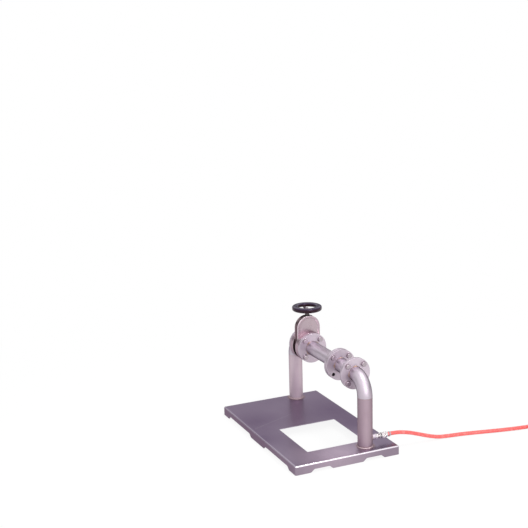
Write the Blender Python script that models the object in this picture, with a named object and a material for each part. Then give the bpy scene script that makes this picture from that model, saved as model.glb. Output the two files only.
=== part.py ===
"""Gas-fed pipe prop: a valve and three flanged joints on a folded steel tray.

Metres, +Z up. The pipe bridge runs along X, the hose leaves along +Y, and the
origin is the middle of the tray's footprint, at floor height. The nodes whose
names end in near lie towards +X, those in far towards -X.
"""
import math

import bmesh
import bpy
import numpy as np
from mathutils import Matrix, Vector

# Clearances
GAP = 0.0003  # between pieces that touch
BOLT_CLEARANCE = 0.001  # round a bolt in its hole
GATE_CLEARANCE = 0.0008  # round the gate's edge in its pocket

# Tray, one folded sheet with a window and notched skirts
TRAY_LENGTH = 0.736
TRAY_WIDTH = 0.456
TRAY_HEIGHT = 0.037
TRAY_SHEET = 0.0025
TRAY_BEND = 0.005  # outer radius of the folds
WINDOW_LENGTH = 0.269
WINDOW_WIDTH = 0.2565
WINDOW_END_MARGIN = 0.109  # from the window to the tray's +X end
WINDOW_SIDE_MARGIN = 0.095  # from the window to the tray's +Y side
WINDOW_CORNER = 0.004
NOTCH_DEPTH = 0.0125
NOTCH_SLOPE = 0.015
MIDDLE_FOOT = 0.133
END_FOOT_LONG_SIDE = 0.060
END_FOOT_SHORT_SIDE = 0.066

# Pipework
PIPE_RADIUS = 0.03015
PIPE_WALL = 0.0026
ELBOW_RADIUS = 0.074
AXIS_HEIGHT = 0.316
AXIS_INSET = 0.121  # from the pipes' plane to the tray's +Y side
STAND_RIGHT_INSET = 0.060  # from a stand's axis to the tray's end
STAND_LEFT_INSET = 0.040
LEFT_TANGENT = 0.0118  # straight piece after the left bend
SPOOL_SPACING = 0.124  # between the bolted faces at the short pipe's ends
FOOT_WELD = 0.005
WELD_CROWN = 0.7  # the bead's fullness
PIPE_SETBACK = 0.003  # from a pipe's end to its flange's mating face

# Flanged joints
FLANGE_RADIUS = 0.065
FLANGE_THICKNESS = 0.012
FLANGE_CHAMFER = 0.0008
BOLT_CIRCLE = 0.050
GASKET_THICKNESS = 0.001
GASKET_INSET = 0.0005  # inside the bolt holes

# Bolts and nuts
BOLT_RADIUS = 0.006
HEX_FLATS = 0.019
HEAD_HEIGHT = 0.0075
WASHER_RADIUS = 0.012
WASHER_THICKNESS = 0.0025
NUT_HEIGHT = 0.010
HEX_CHAMFER = 0.0006
HEX_CHAMFER_HEIGHT = 0.001
END_CHAMFER = 0.0006
BOLT_PROUD = 0.0025
BOLT_ANGLES = (45, 135, 225, 315)
OPEN_HOLE_ANGLE = 315  # this hole of the pair is left without its bolt

# Gate valve, offsets from its stem's axis along X and from the pipe's axis along Z
BODY_HALF_WIDTH = 0.054
BODY_RISE = 0.081  # from the pipe's axis to the centre of the upper round
BODY_HALF_THICKNESS = 0.015
BODY_FLAT = 0.001  # taken off the top for the stuffing box
RIM_WIDTH = 0.0085
RIM_ROUND = 0.0025
FACE_RECESS = 0.002
DRUM_LENGTH = 0.0215  # from the body's rim to the end that the line's flange meets
DRUM_ROOT = 0.001
TAPPED_DEPTH = 0.016
TAPPED_SPARE = 0.002  # below the bolt's end
PORT_RADIUS = 0.019
SEAT_WIDTH = 0.0047
SEAT_THICKNESS = 0.0028
GATE_LAP = 0.004  # of the blade over the port's edge
GATE_THICKNESS = 0.006
GATE_SHOULDER = 0.040
SLOT_LAP = 0.003  # from the port's edge to the stem's slot
TONGUE_WALL = 0.002
TONGUE_CAP = 0.0028
LIFT_NUT_THICKNESS = 0.010
LIFT_NUT_WIDTH = 0.0194
LIFT_NUT_HEIGHT = 0.0094
LIFT_NUT_ROOM = 0.0004
LIFT_NUT_ROOM_BELOW = 0.002
STEM_RADIUS = 0.004
STEM_COLLAR_STEP = 0.003
STEM_COLLAR_HEIGHT = 0.003
STEM_END_ROOM = 0.003  # over the round foot of the gate's slot
STEM_PROUD = 0.001
BOX_WALL = 0.0022
BOX_HEIGHT = 0.010
BOX_FLOOR = 0.003
GLAND_FLATS = 0.019
GLAND_HEIGHT = 0.005

# Handwheel
WHEEL_RADIUS = 0.0645
RIM_SECTION_WIDTH = 0.0265
RIM_SECTION_HEIGHT = 0.020
RIM_FULLNESS = 0.6  # below 1, the rim's oval is squarer
RIM_UNDERSIDE = 0.5  # how much shallower the rim is below its middle, at its inner edge
WHEEL_DISH = 0.015  # from the hub's top up to the rim's top
HUB_RADIUS = 0.011
HUB_TOP_RADIUS = 0.0095
HUB_HEIGHT = 0.012
HUB_RUNNING_GAP = 0.0006
SPOKE_WIDTH = 0.0130
SPOKE_THICKNESS = 0.0065
SPOKE_CHAMFER = 0.0018
SPOKE_ROOT = 0.004
SPOKE_LEVEL = 0.62  # share of the hub's height where the spokes leave it
SPOKE_ANGLES = (54, 174, 294)
TANG_FLATS = 0.0062
THREAD_RADIUS = 0.0029
WHEEL_WASHER_RADIUS = 0.0075
WHEEL_WASHER_THICKNESS = 0.0015
WHEEL_NUT_FLATS = 0.010
WHEEL_NUT_HEIGHT = 0.005

# Gas inlet, its pieces in a row along +Y from the right stand
INLET_RISE = 0.031  # above the tray
INLET_BORE = 0.005
SOCKET_RADIUS = 0.0105
SOCKET_LENGTH = 0.01485
ADAPTER_FLATS = 0.019
ADAPTER_HEX_LENGTH = 0.0078
ADAPTER_RADIUS = 0.009
ADAPTER_LENGTH = 0.0184
SHOULDER_STEP = 0.0014  # in from the sleeve's outside
SHOULDER_LENGTH = 0.003
BARREL_RADIUS = 0.0083
BARREL_BORE = 0.0058
BARREL_LENGTH = 0.0343
SLEEVE_WALL = 0.00155
SLEEVE_CHAMFER = 0.001
SLEEVE_TRAVEL = 0.004
SLEEVE_LIP = 0.007
SPRING_WIRE = 0.0006  # radius
SPRING_ROOM = 0.00065  # between the wire and the barrel
SPRING_TURNS = 4
SNAP_RING_WIDTH = 0.001
SNAP_RING_PROUD = 0.0015
SNAP_GROOVE_DEPTH = 0.0008
PLUG_COLLAR_RADIUS = 0.009
PLUG_COLLAR_LENGTH = 0.0024
PLUG_DEPTH = 0.022
PLUG_BORE = 0.0032
CLAMP_SETBACK = 0.0052  # from the hose's end
CLAMP_WIDTH = 0.007
CLAMP_BAND = 0.0008
CLAMP_EAR_FOOT = 0.006
CLAMP_EAR_TOP = 0.0036
CLAMP_EAR_HEIGHT = 0.0028
CLAMP_EAR_INSET = 0.001

# Hose
HOSE_RADIUS = 0.008
FLOOR_CLEARANCE = 0.0003
COIL_TURNS = 7
COIL_INNER_RADIUS = 0.0645
COIL_SPACING = 0.0008  # between neighbouring turns
COIL_LAYER_SPACING = 0.0006
COIL_START_X = 0.384
COIL_START_Y = 0.935
COIL_LEAD = 0.020
TAIL_LENGTH = 0.120
TAIL_SHIFT = 0.012
END_NUT_WALL = 0.0024
END_NUT_LENGTH = 0.020
END_NUT_BORE = 0.0086
END_NUT_BACK = 0.003
FERRULE_WALL = 0.0012  # over the hose
FERRULE_LENGTH = 0.024
FERRULE_CHAMFER = 0.0008
NIPPLE_RADIUS = 0.0052
NIPPLE_BORE = 0.0026
NIPPLE_SETBACK = 0.002
NIPPLE_HEAD_ROOM = 0.0004  # in the nut's bore
NIPPLE_HEAD_LENGTH = 0.007
NIPPLE_HEAD_STRAIGHT = 0.0021
NIPPLE_TIP_RADIUS = 0.0042

# Facets
PIPE_STEPS = 24
ELBOW_STEPS = 6
FLANGE_STEPS = 32
HEX_POINTS = 12
HOLE_POINTS = 10
SMALL_STEPS = 16
SLEEVE_STEPS = 20
OUTLINE_STEPS = 12
POCKET_STEPS = 8
SLOT_STEPS = 6
RIM_POINTS = 8
WHEEL_STEPS = 34
CUT_PAST = 0.01  # how far a cutter runs past what it cuts

# Places and levels that follow from the sizes above
STAND_RIGHT_X = TRAY_LENGTH / 2 - STAND_RIGHT_INSET
STAND_LEFT_X = STAND_LEFT_INSET - TRAY_LENGTH / 2
AXIS_Y = TRAY_WIDTH / 2 - AXIS_INSET
WINDOW_HIGH_X = TRAY_LENGTH / 2 - WINDOW_END_MARGIN
WINDOW_HIGH_Y = TRAY_WIDTH / 2 - WINDOW_SIDE_MARGIN
PIPE_BORE = PIPE_RADIUS - PIPE_WALL
STAND_FOOT = TRAY_HEIGHT + GAP
STAND_TOP = AXIS_HEIGHT - ELBOW_RADIUS - GAP
BOLT_HOLE_RADIUS = BOLT_RADIUS + BOLT_CLEARANCE
GASKET_RADIUS = BOLT_CIRCLE - BOLT_HOLE_RADIUS - GASKET_INSET
GASKET_SPACE = GASKET_THICKNESS + 2 * GAP

# Along the valve, from its stem's axis
DRUM_END = BODY_HALF_THICKNESS + DRUM_LENGTH
LINE_FLANGE_IN = DRUM_END + GASKET_SPACE
LINE_FLANGE_OUT = LINE_FLANGE_IN + FLANGE_THICKNESS

# Along X: the left stand places the valve, the right stand the short pipe, and the long pipe fills in
ELBOW_LEFT_END = STAND_LEFT_X + ELBOW_RADIUS
VALVE_X = ELBOW_LEFT_END + LEFT_TANGENT + PIPE_SETBACK + LINE_FLANGE_IN
LEFT_FLANGE_X = VALVE_X - LINE_FLANGE_OUT
RUN_FLANGE_X = VALVE_X + LINE_FLANGE_OUT
ELBOW_FLANGE_X = STAND_RIGHT_X - ELBOW_RADIUS
ELBOW_JOINT_X = ELBOW_FLANGE_X - FLANGE_THICKNESS / 2
PAIR_FLANGE_X = ELBOW_FLANGE_X - SPOOL_SPACING

# Up the valve, from the pipe's axis
GATE_RADIUS = PORT_RADIUS + GATE_LAP
GATE_TRAVEL = GATE_RADIUS + PORT_RADIUS
SEAT_RADIUS = PORT_RADIUS + SEAT_WIDTH
SLOT_BOTTOM = PORT_RADIUS + SLOT_LAP
STEM_BORE = STEM_RADIUS + GAP
STEM_END = SLOT_BOTTOM + GATE_TRAVEL + STEM_END_ROOM
LIFT_NUT_BOTTOM = STEM_END + GAP
LIFT_NUT_TOP = LIFT_NUT_BOTTOM + LIFT_NUT_HEIGHT
GATE_TOP = LIFT_NUT_TOP + TONGUE_CAP
TONGUE_HALF = LIFT_NUT_WIDTH / 2 + GAP + TONGUE_WALL
POCKET_RADIUS = GATE_RADIUS + GATE_CLEARANCE
POCKET_ROUND = GATE_TOP + GATE_TRAVEL - math.sqrt(GATE_RADIUS**2 - TONGUE_HALF**2)
BODY_TOP = BODY_RISE + BODY_HALF_WIDTH - BODY_FLAT
BOX_BOTTOM = BODY_TOP + GAP
BOX_TOP = BOX_BOTTOM + BOX_HEIGHT
STEM_COLLAR_RADIUS = STEM_RADIUS + STEM_COLLAR_STEP
BOX_BORE = STEM_COLLAR_RADIUS + GAP
BOX_RADIUS = BOX_BORE + BOX_WALL
COLLAR_BOTTOM = BOX_BOTTOM + BOX_FLOOR + GAP
COLLAR_TOP = COLLAR_BOTTOM + STEM_COLLAR_HEIGHT
GLAND_BOTTOM = BOX_TOP + GAP
GLAND_TOP = GLAND_BOTTOM + GLAND_HEIGHT
HUB_BOTTOM = GLAND_TOP + HUB_RUNNING_GAP
HUB_TOP = HUB_BOTTOM + HUB_HEIGHT
RIM_LEVEL = HUB_TOP + WHEEL_DISH - RIM_SECTION_HEIGHT / 2
WASHER_BOTTOM = HUB_TOP + GAP
WHEEL_NUT_BOTTOM = WASHER_BOTTOM + WHEEL_WASHER_THICKNESS + GAP
WHEEL_NUT_TOP = WHEEL_NUT_BOTTOM + WHEEL_NUT_HEIGHT
STEM_TOP = WHEEL_NUT_TOP + STEM_PROUD

# Along the inlet, from the right stand's axis
INLET_HEIGHT = TRAY_HEIGHT + INLET_RISE
SOCKET_END = PIPE_RADIUS + SOCKET_LENGTH
ADAPTER_START = SOCKET_END + GAP
ADAPTER_END = ADAPTER_START + ADAPTER_LENGTH
COUPLER_START = ADAPTER_END + GAP
SHOULDER_END = COUPLER_START + SHOULDER_LENGTH
BARREL_END = COUPLER_START + BARREL_LENGTH
SNAP_RING_START = BARREL_END - GAP - SNAP_RING_WIDTH
SLEEVE_START = SHOULDER_END + GAP + SLEEVE_TRAVEL
SLEEVE_END = SNAP_RING_START - GAP
LIP_START = SLEEVE_END - SLEEVE_LIP
SPRING_RADIUS = BARREL_RADIUS + SPRING_ROOM + SPRING_WIRE
SLEEVE_BORE = SPRING_RADIUS + SPRING_WIRE + GAP
SLEEVE_RADIUS = SLEEVE_BORE + SLEEVE_WALL
PLUG_COLLAR_START = BARREL_END + GAP
PLUG_COLLAR_END = PLUG_COLLAR_START + PLUG_COLLAR_LENGTH
HOSE_START = PLUG_COLLAR_END + GAP
CLAMP_START = HOSE_START + CLAMP_SETBACK
CLAMP_END = CLAMP_START + CLAMP_WIDTH

# Along the hose
HOSE_POINT_SPACING = 4.8 * HOSE_RADIUS
HOSE_STRAIGHT = 2 * HOSE_RADIUS  # at each end of a stretch
HOSE_FLOOR = HOSE_RADIUS + FLOOR_CLEARANCE
COIL_PITCH = 2 * HOSE_RADIUS + COIL_SPACING
COIL_LAYER = 2 * HOSE_RADIUS + COIL_LAYER_SPACING
COIL_OUTER_RADIUS = COIL_INNER_RADIUS + COIL_PITCH * COIL_TURNS / 2
END_NUT_FLATS = 2 * (END_NUT_BORE + END_NUT_WALL)
HOSE_END_HEIGHT = END_NUT_FLATS / 2 + FLOOR_CLEARANCE

# The hose's route from the plug to the coil, points chosen along its drop and its lie
HOSE_EXIT_Y = AXIS_Y + HOSE_START
HOSE_ROUTE = [
    (STAND_RIGHT_X, HOSE_EXIT_Y, INLET_HEIGHT),
    (STAND_RIGHT_X, HOSE_EXIT_Y + HOSE_STRAIGHT / 2, INLET_HEIGHT),
    (STAND_RIGHT_X, HOSE_EXIT_Y + HOSE_STRAIGHT, INLET_HEIGHT),
    (STAND_RIGHT_X, 0.257, 0.0662),
    (STAND_RIGHT_X, 0.286, 0.0612),
    (STAND_RIGHT_X, 0.318, 0.0528),
    (STAND_RIGHT_X, 0.350, 0.0420),
    (STAND_RIGHT_X, 0.384, 0.0300),
    (STAND_RIGHT_X, 0.418, 0.0190),
    (STAND_RIGHT_X, 0.450, 0.0112),
    (0.311, 0.490, HOSE_FLOOR),
    (0.322, 0.560, HOSE_FLOOR),
    (0.340, 0.640, HOSE_FLOOR),
    (0.359, 0.720, HOSE_FLOOR),
    (0.374, 0.800, HOSE_FLOOR),
    (0.382, 0.870, HOSE_FLOOR),
    (COIL_START_X, COIL_START_Y - HOSE_STRAIGHT, HOSE_FLOOR),
    (COIL_START_X, COIL_START_Y - HOSE_STRAIGHT / 2, HOSE_FLOOR),
    (COIL_START_X, COIL_START_Y, HOSE_FLOOR),
]

# Turns that lay a piece built along Z on another axis
ALONG_PLUS_X = (0, math.pi / 2, 0)
ALONG_MINUS_X = (0, -math.pi / 2, 0)
ALONG_PLUS_Y = (-math.pi / 2, 0, 0)
UPRIGHT = (0, 0, 0)


def finish(name, colour, roughness, metallic):
    """A plain surface finish."""
    made = bpy.data.materials.new(name)
    made.use_nodes = True
    shader = made.node_tree.nodes["Principled BSDF"]
    shader.inputs["Base Color"].default_value = (*colour, 1)
    shader.inputs["Roughness"].default_value = roughness
    shader.inputs["Metallic"].default_value = metallic
    return made


def add_object(name, bm, surface, location=(0, 0, 0), rotation=UPRIGHT):
    """Turn a bmesh into an object with its faces outward and its round sides smooth."""
    bmesh.ops.recalc_face_normals(bm, faces=bm.faces)
    mesh = bpy.data.meshes.new(name)
    bm.to_mesh(mesh)
    bm.free()
    mesh.shade_smooth()
    mesh.set_sharp_from_angle(angle=math.radians(35))
    if surface:
        mesh.materials.append(surface)
    obj = bpy.data.objects.new(name, mesh)
    obj.location = location
    obj.rotation_euler = rotation
    bpy.context.scene.collection.objects.link(obj)
    return obj


def add_tool(name, bm, location=(0, 0, 0), rotation=UPRIGHT):
    """A body that only shapes others: drawn as wire and never rendered."""
    obj = add_object(name, bm, None, location, rotation)
    obj.hide_render = True
    obj.display_type = "WIRE"
    return obj


def combine(obj, tool, operation):
    modifier = obj.modifiers.new(tool.name, "BOOLEAN")
    modifier.operation = operation
    modifier.object = tool
    modifier.solver = "EXACT"


def circle(count, radius, height, centre=(0, 0)):
    """Points round a circle at one height."""
    angles = [2 * math.pi * k / count for k in range(count)]
    return [(centre[0] + radius * math.cos(a), centre[1] + radius * math.sin(a), height) for a in angles]


def hexagon(flats, height, centre=(0, 0), count=HEX_POINTS):
    """A hexagon, with points at its corners and at the middle of its flats."""
    points = []
    for k in range(count):
        angle = 2 * math.pi * k / count
        radius = flats / 2 / math.cos(math.radians((math.degrees(angle) % 60) - 30))
        points.append((centre[0] + radius * math.cos(angle), centre[1] + radius * math.sin(angle), height))
    return points


def hexagon_end(flats, end, towards=1):
    """The two rings of a hexagon's chamfered end, which faces up where towards is 1."""
    edge = hexagon(flats, end - towards * HEX_CHAMFER_HEIGHT)
    return [edge, circle(HEX_POINTS, flats / 2 - HEX_CHAMFER, end)]


def chamfered_rectangle(width, height, chamfer):
    """Eight corners round the origin, as pairs."""
    a = width / 2
    b = height / 2
    upper = [(a, b - chamfer), (a - chamfer, b), (chamfer - a, b), (-a, b - chamfer)]
    return upper + [(-x, -y) for x, y in upper]


def squared_circle(radius, flats, height, count=SMALL_STEPS):
    """A circle with four flats filed on it."""
    points = []
    for k in range(count):
        angle = 2 * math.pi * k / count
        reach = min(radius, flats / 2 / max(abs(math.cos(angle)), abs(math.sin(angle))))
        points.append((reach * math.cos(angle), reach * math.sin(angle), height))
    return points


def slot_outline(radius, low, high, steps):
    """An upright outline with round ends: (y, z) points, counter-clockwise from the right."""
    points = []
    for k in range(steps + 1):
        angle = math.pi * k / steps
        points.append((radius * math.cos(angle), high + radius * math.sin(angle)))
    for k in range(steps + 1):
        angle = math.pi + math.pi * k / steps
        points.append((radius * math.cos(angle), low + radius * math.sin(angle)))
    return points


def skin(bm, rings, ring_shaped=False):
    """Join a stack of rings of equal count, and close it with caps or on itself."""
    loops = [[bm.verts.new(p) for p in points] for points in rings]
    followers = loops[1:] + (loops[:1] if ring_shaped else [])
    for low, high in zip(loops, followers):
        for a, b, c, d in zip(low, low[1:] + low[:1], high[1:] + high[:1], high):
            bm.faces.new((a, b, c, d))
    if not ring_shaped:
        bm.faces.new(reversed(loops[0]))
        bm.faces.new(loops[-1])
    return bm


def turned(profile, steps):
    """Turn a profile of (radius, height) points about Z; it is closed unless it starts on the axis."""
    bm = bmesh.new()
    verts = [bm.verts.new((radius, 0, height)) for radius, height in profile]
    pairs = list(zip(verts, verts[1:]))
    if profile[0][0] > 0:
        pairs.append((verts[-1], verts[0]))
    edges = [bm.edges.new(pair) for pair in pairs]
    bmesh.ops.spin(bm, geom=verts + edges, axis=(0, 0, 1), cent=(0, 0, 0), angle=2 * math.pi, steps=steps)
    bmesh.ops.remove_doubles(bm, verts=bm.verts, dist=1e-6)
    return bm


def tube(inner, outer, start, end, steps, chamfer=0.0):
    """A turned ring or pipe between two heights, chamfered at its end if asked."""
    profile = [(inner, start), (outer, start), (outer, end - chamfer), (inner, end)]
    if chamfer:
        profile.insert(3, (outer - chamfer, end))
    return turned(profile, steps)


def prism(outline, start, end, place):
    """Extrude an outline of 2-D points; place(a, b, depth) says where a point lies."""
    rings = [[place(a, b, depth) for a, b in outline] for depth in (start, end)]
    return skin(bmesh.new(), rings)


def along_x(a, b, depth):
    return (depth, a, b)


def along_y(a, b, depth):
    return (a, depth, b)


def along_z(a, b, depth):
    return (a, b, depth)


STEEL = finish("brushed_steel", (0.55, 0.53, 0.56), 0.32, 1.0)
CAST_STEEL = finish("cast_steel", (0.56, 0.52, 0.55), 0.45, 1.0)
BOLT_STEEL = finish("bolt_steel", (0.62, 0.58, 0.60), 0.3, 1.0)
GASKET = finish("gasket_graphite", (0.05, 0.05, 0.055), 0.8, 0.0)
SEAT_PLASTIC = finish("seat_plastic", (0.85, 0.85, 0.83), 0.5, 0.0)
BRASS = finish("brass", (0.78, 0.57, 0.27), 0.3, 1.0)
BLACKENED = finish("blackened_steel", (0.10, 0.085, 0.09), 0.4, 1.0)
BLACK = finish("black_gloss", (0.02, 0.018, 0.02), 0.18, 0.0)
NICKEL = finish("nickel_plate", (0.72, 0.70, 0.69), 0.25, 1.0)
HOSE_RED = finish("hose_red", (0.72, 0.07, 0.05), 0.4, 0.0)


def skirt_notch(side_length, end_foot):
    """The gap between a middle foot and an end foot, run on below the floor."""
    near = MIDDLE_FOOT / 2
    far = side_length / 2 - end_foot
    return [
        (near - NOTCH_SLOPE, -NOTCH_DEPTH),
        (near + NOTCH_SLOPE, NOTCH_DEPTH),
        (far - NOTCH_SLOPE, NOTCH_DEPTH),
        (far + NOTCH_SLOPE, -NOTCH_DEPTH),
    ]


def window_outline():
    """The window's edge, with rounded corners."""
    high = (WINDOW_HIGH_X - WINDOW_CORNER, WINDOW_HIGH_Y - WINDOW_CORNER)
    low = (WINDOW_HIGH_X - WINDOW_LENGTH + WINDOW_CORNER, WINDOW_HIGH_Y - WINDOW_WIDTH + WINDOW_CORNER)
    centres = [(high[0], high[1]), (low[0], high[1]), (low[0], low[1]), (high[0], low[1])]
    outline = []
    for turn, (x, y) in zip((0, 90, 180, 270), centres):
        for step in (0, 45, 90):
            angle = math.radians(turn + step)
            outline.append((x + WINDOW_CORNER * math.cos(angle), y + WINDOW_CORNER * math.sin(angle)))
    return outline


def build_tray():
    bm = bmesh.new()
    block = Matrix.Translation((0, 0, TRAY_HEIGHT / 2)) @ Matrix.Diagonal((TRAY_LENGTH, TRAY_WIDTH, TRAY_HEIGHT, 1))
    bmesh.ops.create_cube(bm, size=1, matrix=block)
    folds = [e for e in bm.edges if max(v.co.z for v in e.verts) > TRAY_HEIGHT / 2]
    bmesh.ops.bevel(bm, geom=folds, offset=TRAY_BEND, segments=3, profile=0.5, affect="EDGES")
    underside = [f for f in bm.faces if f.normal.z < -0.9]
    bmesh.ops.delete(bm, geom=underside, context="FACES_ONLY")
    tray = add_object("base_tray", bm, STEEL)
    sheet = tray.modifiers.new("sheet", "SOLIDIFY")
    sheet.thickness = TRAY_SHEET
    sheet.offset = -1
    sheet.use_even_offset = True

    window = prism(window_outline(), TRAY_HEIGHT - 3 * TRAY_SHEET, TRAY_HEIGHT + TRAY_SHEET, along_z)
    combine(tray, add_tool("window_cutter", window), "DIFFERENCE")

    long_notch = skirt_notch(TRAY_LENGTH, END_FOOT_LONG_SIDE)
    short_notch = skirt_notch(TRAY_WIDTH, END_FOOT_SHORT_SIDE)
    for side in (1, -1):
        outline = [(side * a, b) for a, b in long_notch]
        cutter = prism(outline, -TRAY_WIDTH, TRAY_WIDTH, along_y)
        combine(tray, add_tool(f"long_notch_cutter_{side}", cutter), "DIFFERENCE")
        outline = [(side * a, b) for a, b in short_notch]
        cutter = prism(outline, -TRAY_LENGTH, TRAY_LENGTH, along_x)
        combine(tray, add_tool(f"short_notch_cutter_{side}", cutter), "DIFFERENCE")


def build_stand(name, x):
    """An upright pipe with its foot's weld."""
    bead = WELD_CROWN * FOOT_WELD
    profile = [
        (PIPE_BORE, STAND_FOOT),
        (PIPE_RADIUS + FOOT_WELD, STAND_FOOT),
        (PIPE_RADIUS + bead, STAND_FOOT + bead),
        (PIPE_RADIUS, STAND_FOOT + FOOT_WELD),
        (PIPE_RADIUS, STAND_TOP),
        (PIPE_BORE, STAND_TOP),
    ]
    return add_object(name, turned(profile, PIPE_STEPS), STEEL, (x, AXIS_Y, 0))


def build_elbow(name, stand_x, towards, tangent):
    """A quarter bend from a stand's top to the pipe's axis, with a straight end piece."""
    centre = Vector((stand_x + towards * ELBOW_RADIUS, AXIS_Y, AXIS_HEIGHT - ELBOW_RADIUS))
    turns = [towards * math.pi / 2 * k / ELBOW_STEPS for k in range(ELBOW_STEPS + 1)]

    def rings(radius):
        made = []
        for turn in turns:
            swing = Matrix.Rotation(turn, 3, "Y")
            ring = circle(PIPE_STEPS, radius, centre.z, (stand_x, AXIS_Y))
            made.append([centre + swing @ (Vector(point) - centre) for point in ring])
        made.append([point + Vector((towards * tangent, 0, 0)) for point in made[-1]])
        return made

    wall = rings(PIPE_RADIUS) + rings(PIPE_BORE)[::-1]
    return add_object(name, skin(bmesh.new(), wall, ring_shaped=True), STEEL)


def bolt_hole_cutter(name, x):
    """Four drills on the bolt circle, centred on a flange."""
    bm = bmesh.new()
    reach = 3 * FLANGE_THICKNESS
    for angle in BOLT_ANGLES:
        centre = bolt_place(angle)
        skin(bm, [circle(HOLE_POINTS, BOLT_HOLE_RADIUS, height, centre) for height in (-reach, reach)])
    return add_tool(name, bm, (x, AXIS_Y, AXIS_HEIGHT), ALONG_PLUS_X)


def bolt_place(angle):
    turn = math.radians(angle)
    return (BOLT_CIRCLE * math.cos(turn), BOLT_CIRCLE * math.sin(turn))


def build_flange(name, high_x):
    """A plate flange that slips over its pipe; high_x is the face towards +X."""
    bore = PIPE_RADIUS + GAP
    disc = tube(bore, FLANGE_RADIUS, -FLANGE_THICKNESS, 0, FLANGE_STEPS, FLANGE_CHAMFER)
    flange = add_object(name, disc, STEEL, (high_x, AXIS_Y, AXIS_HEIGHT), ALONG_PLUS_X)
    combine(flange, bolt_hole_cutter(name + "_drills", high_x), "DIFFERENCE")


def build_pipe(name, start_x, end_x):
    body = tube(PIPE_BORE, PIPE_RADIUS, start_x, end_x, PIPE_STEPS)
    add_object(name, body, STEEL, (0, AXIS_Y, AXIS_HEIGHT), ALONG_PLUS_X)


def build_gasket(name, low_x):
    """A flat ring inside the bolt circle; low_x is the flange face that it lies on."""
    ring = tube(PIPE_BORE, GASKET_RADIUS, low_x + GAP, low_x + GAP + GASKET_THICKNESS, PIPE_STEPS)
    add_object(name, ring, GASKET, (0, AXIS_Y, AXIS_HEIGHT), ALONG_PLUS_X)


def bolt_head():
    """The rings of a hexagon head and its washer, which seats on height zero, down to the start of the shank."""
    seat = GAP + WASHER_THICKNESS
    return hexagon_end(HEX_FLATS, seat + HEAD_HEIGHT)[::-1] + [
        hexagon(HEX_FLATS, seat),
        circle(HEX_POINTS, WASHER_RADIUS, seat),
        circle(HEX_POINTS, WASHER_RADIUS, GAP),
        circle(HEX_POINTS, BOLT_RADIUS, GAP),
    ]


def nut_on_bolt(grip):
    """The rings below a bolt's head: the shank, its nut run up tight, and the shank's end."""
    nut_top = -grip - GAP
    nut_end = nut_top - NUT_HEIGHT
    return [
        circle(HEX_POINTS, BOLT_RADIUS, nut_top),
        hexagon(HEX_FLATS, nut_top),
        hexagon(HEX_FLATS, nut_end),
        circle(HEX_POINTS, BOLT_RADIUS, nut_end),
        circle(HEX_POINTS, BOLT_RADIUS, nut_end - BOLT_PROUD),
    ]


def plain_shank(length):
    """The rings below the head of a bolt that ends in a tapped hole."""
    return [
        circle(HEX_POINTS, BOLT_RADIUS, END_CHAMFER - length),
        circle(HEX_POINTS, BOLT_RADIUS - END_CHAMFER, -length),
    ]


def build_bolting(label, head_x, shank, rotation, angles):
    """The bolts of one joint, numbered round the bolt circle."""
    for angle in angles:
        along_minus_z, along_y = bolt_place(angle)
        side = 1 if rotation == ALONG_PLUS_X else -1
        place = (head_x, AXIS_Y + along_y, AXIS_HEIGHT - side * along_minus_z)
        number = BOLT_ANGLES.index(angle) + 1
        add_object(f"{label}_bolt_{number}", skin(bmesh.new(), bolt_head() + shank), BOLT_STEEL, place, rotation)


def body_outline(shrink):
    """The valve body's outline, flattened on top, drawn in by shrink."""
    points = slot_outline(BODY_HALF_WIDTH - shrink, 0, BODY_RISE, OUTLINE_STEPS)
    return [(y, min(z, BODY_TOP)) for y, z in points]


def valve_hollows():
    """Everything cut out of both halves of the valve's body."""
    pocket = slot_outline(POCKET_RADIUS, 0, POCKET_ROUND, POCKET_STEPS)
    half_depth = GATE_THICKNESS / 2 + GAP
    pocket_body = prism(pocket, -half_depth, half_depth, along_x)
    channel_half = LIFT_NUT_WIDTH / 2 + GAP
    channel_depth = LIFT_NUT_THICKNESS / 2 + LIFT_NUT_ROOM
    low = LIFT_NUT_BOTTOM - LIFT_NUT_ROOM_BELOW
    high = LIFT_NUT_TOP + GATE_TRAVEL + GAP
    channel = [(-channel_half, low), (channel_half, low), (channel_half, high), (-channel_half, high)]
    channel_body = prism(channel, -channel_depth, channel_depth, along_x)
    groove_levels = (GATE_TOP, BODY_TOP + CUT_PAST)
    groove = skin(bmesh.new(), [circle(HEX_POINTS, STEM_BORE + GAP, z) for z in groove_levels])
    seat_back = half_depth + SEAT_THICKNESS + GAP
    reach = DRUM_END + CUT_PAST
    port = skin(bmesh.new(), [circle(PIPE_STEPS, PORT_RADIUS, z) for z in (-reach, reach)])
    seat_pocket = skin(bmesh.new(), [circle(PIPE_STEPS, SEAT_RADIUS + GAP, z) for z in (-seat_back, seat_back)])
    place = (VALVE_X, AXIS_Y, AXIS_HEIGHT)
    return [
        add_tool("gate_pocket_cutter", pocket_body, place),
        add_tool("lift_nut_channel_cutter", channel_body, place),
        add_tool("stem_groove_cutter", groove, place),
        add_tool("port_cutter", port, place, ALONG_PLUS_X),
        add_tool("seat_pocket_cutter", seat_pocket, place, ALONG_PLUS_X),
    ]


def tapped_holes():
    """The blind holes for the line flanges' bolts, four from either end."""
    bm = bmesh.new()
    bottom = DRUM_END - TAPPED_DEPTH
    mouth = DRUM_END + CUT_PAST
    for angle in BOLT_ANGLES:
        centre = bolt_place(angle)
        for ends in ((bottom, mouth), (-mouth, -bottom)):
            skin(bm, [circle(HEX_POINTS, BOLT_RADIUS + GAP, height, centre) for height in ends])
    return add_tool("tapped_hole_cutter", bm, (VALVE_X, AXIS_Y, AXIS_HEIGHT), ALONG_PLUS_X)


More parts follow.
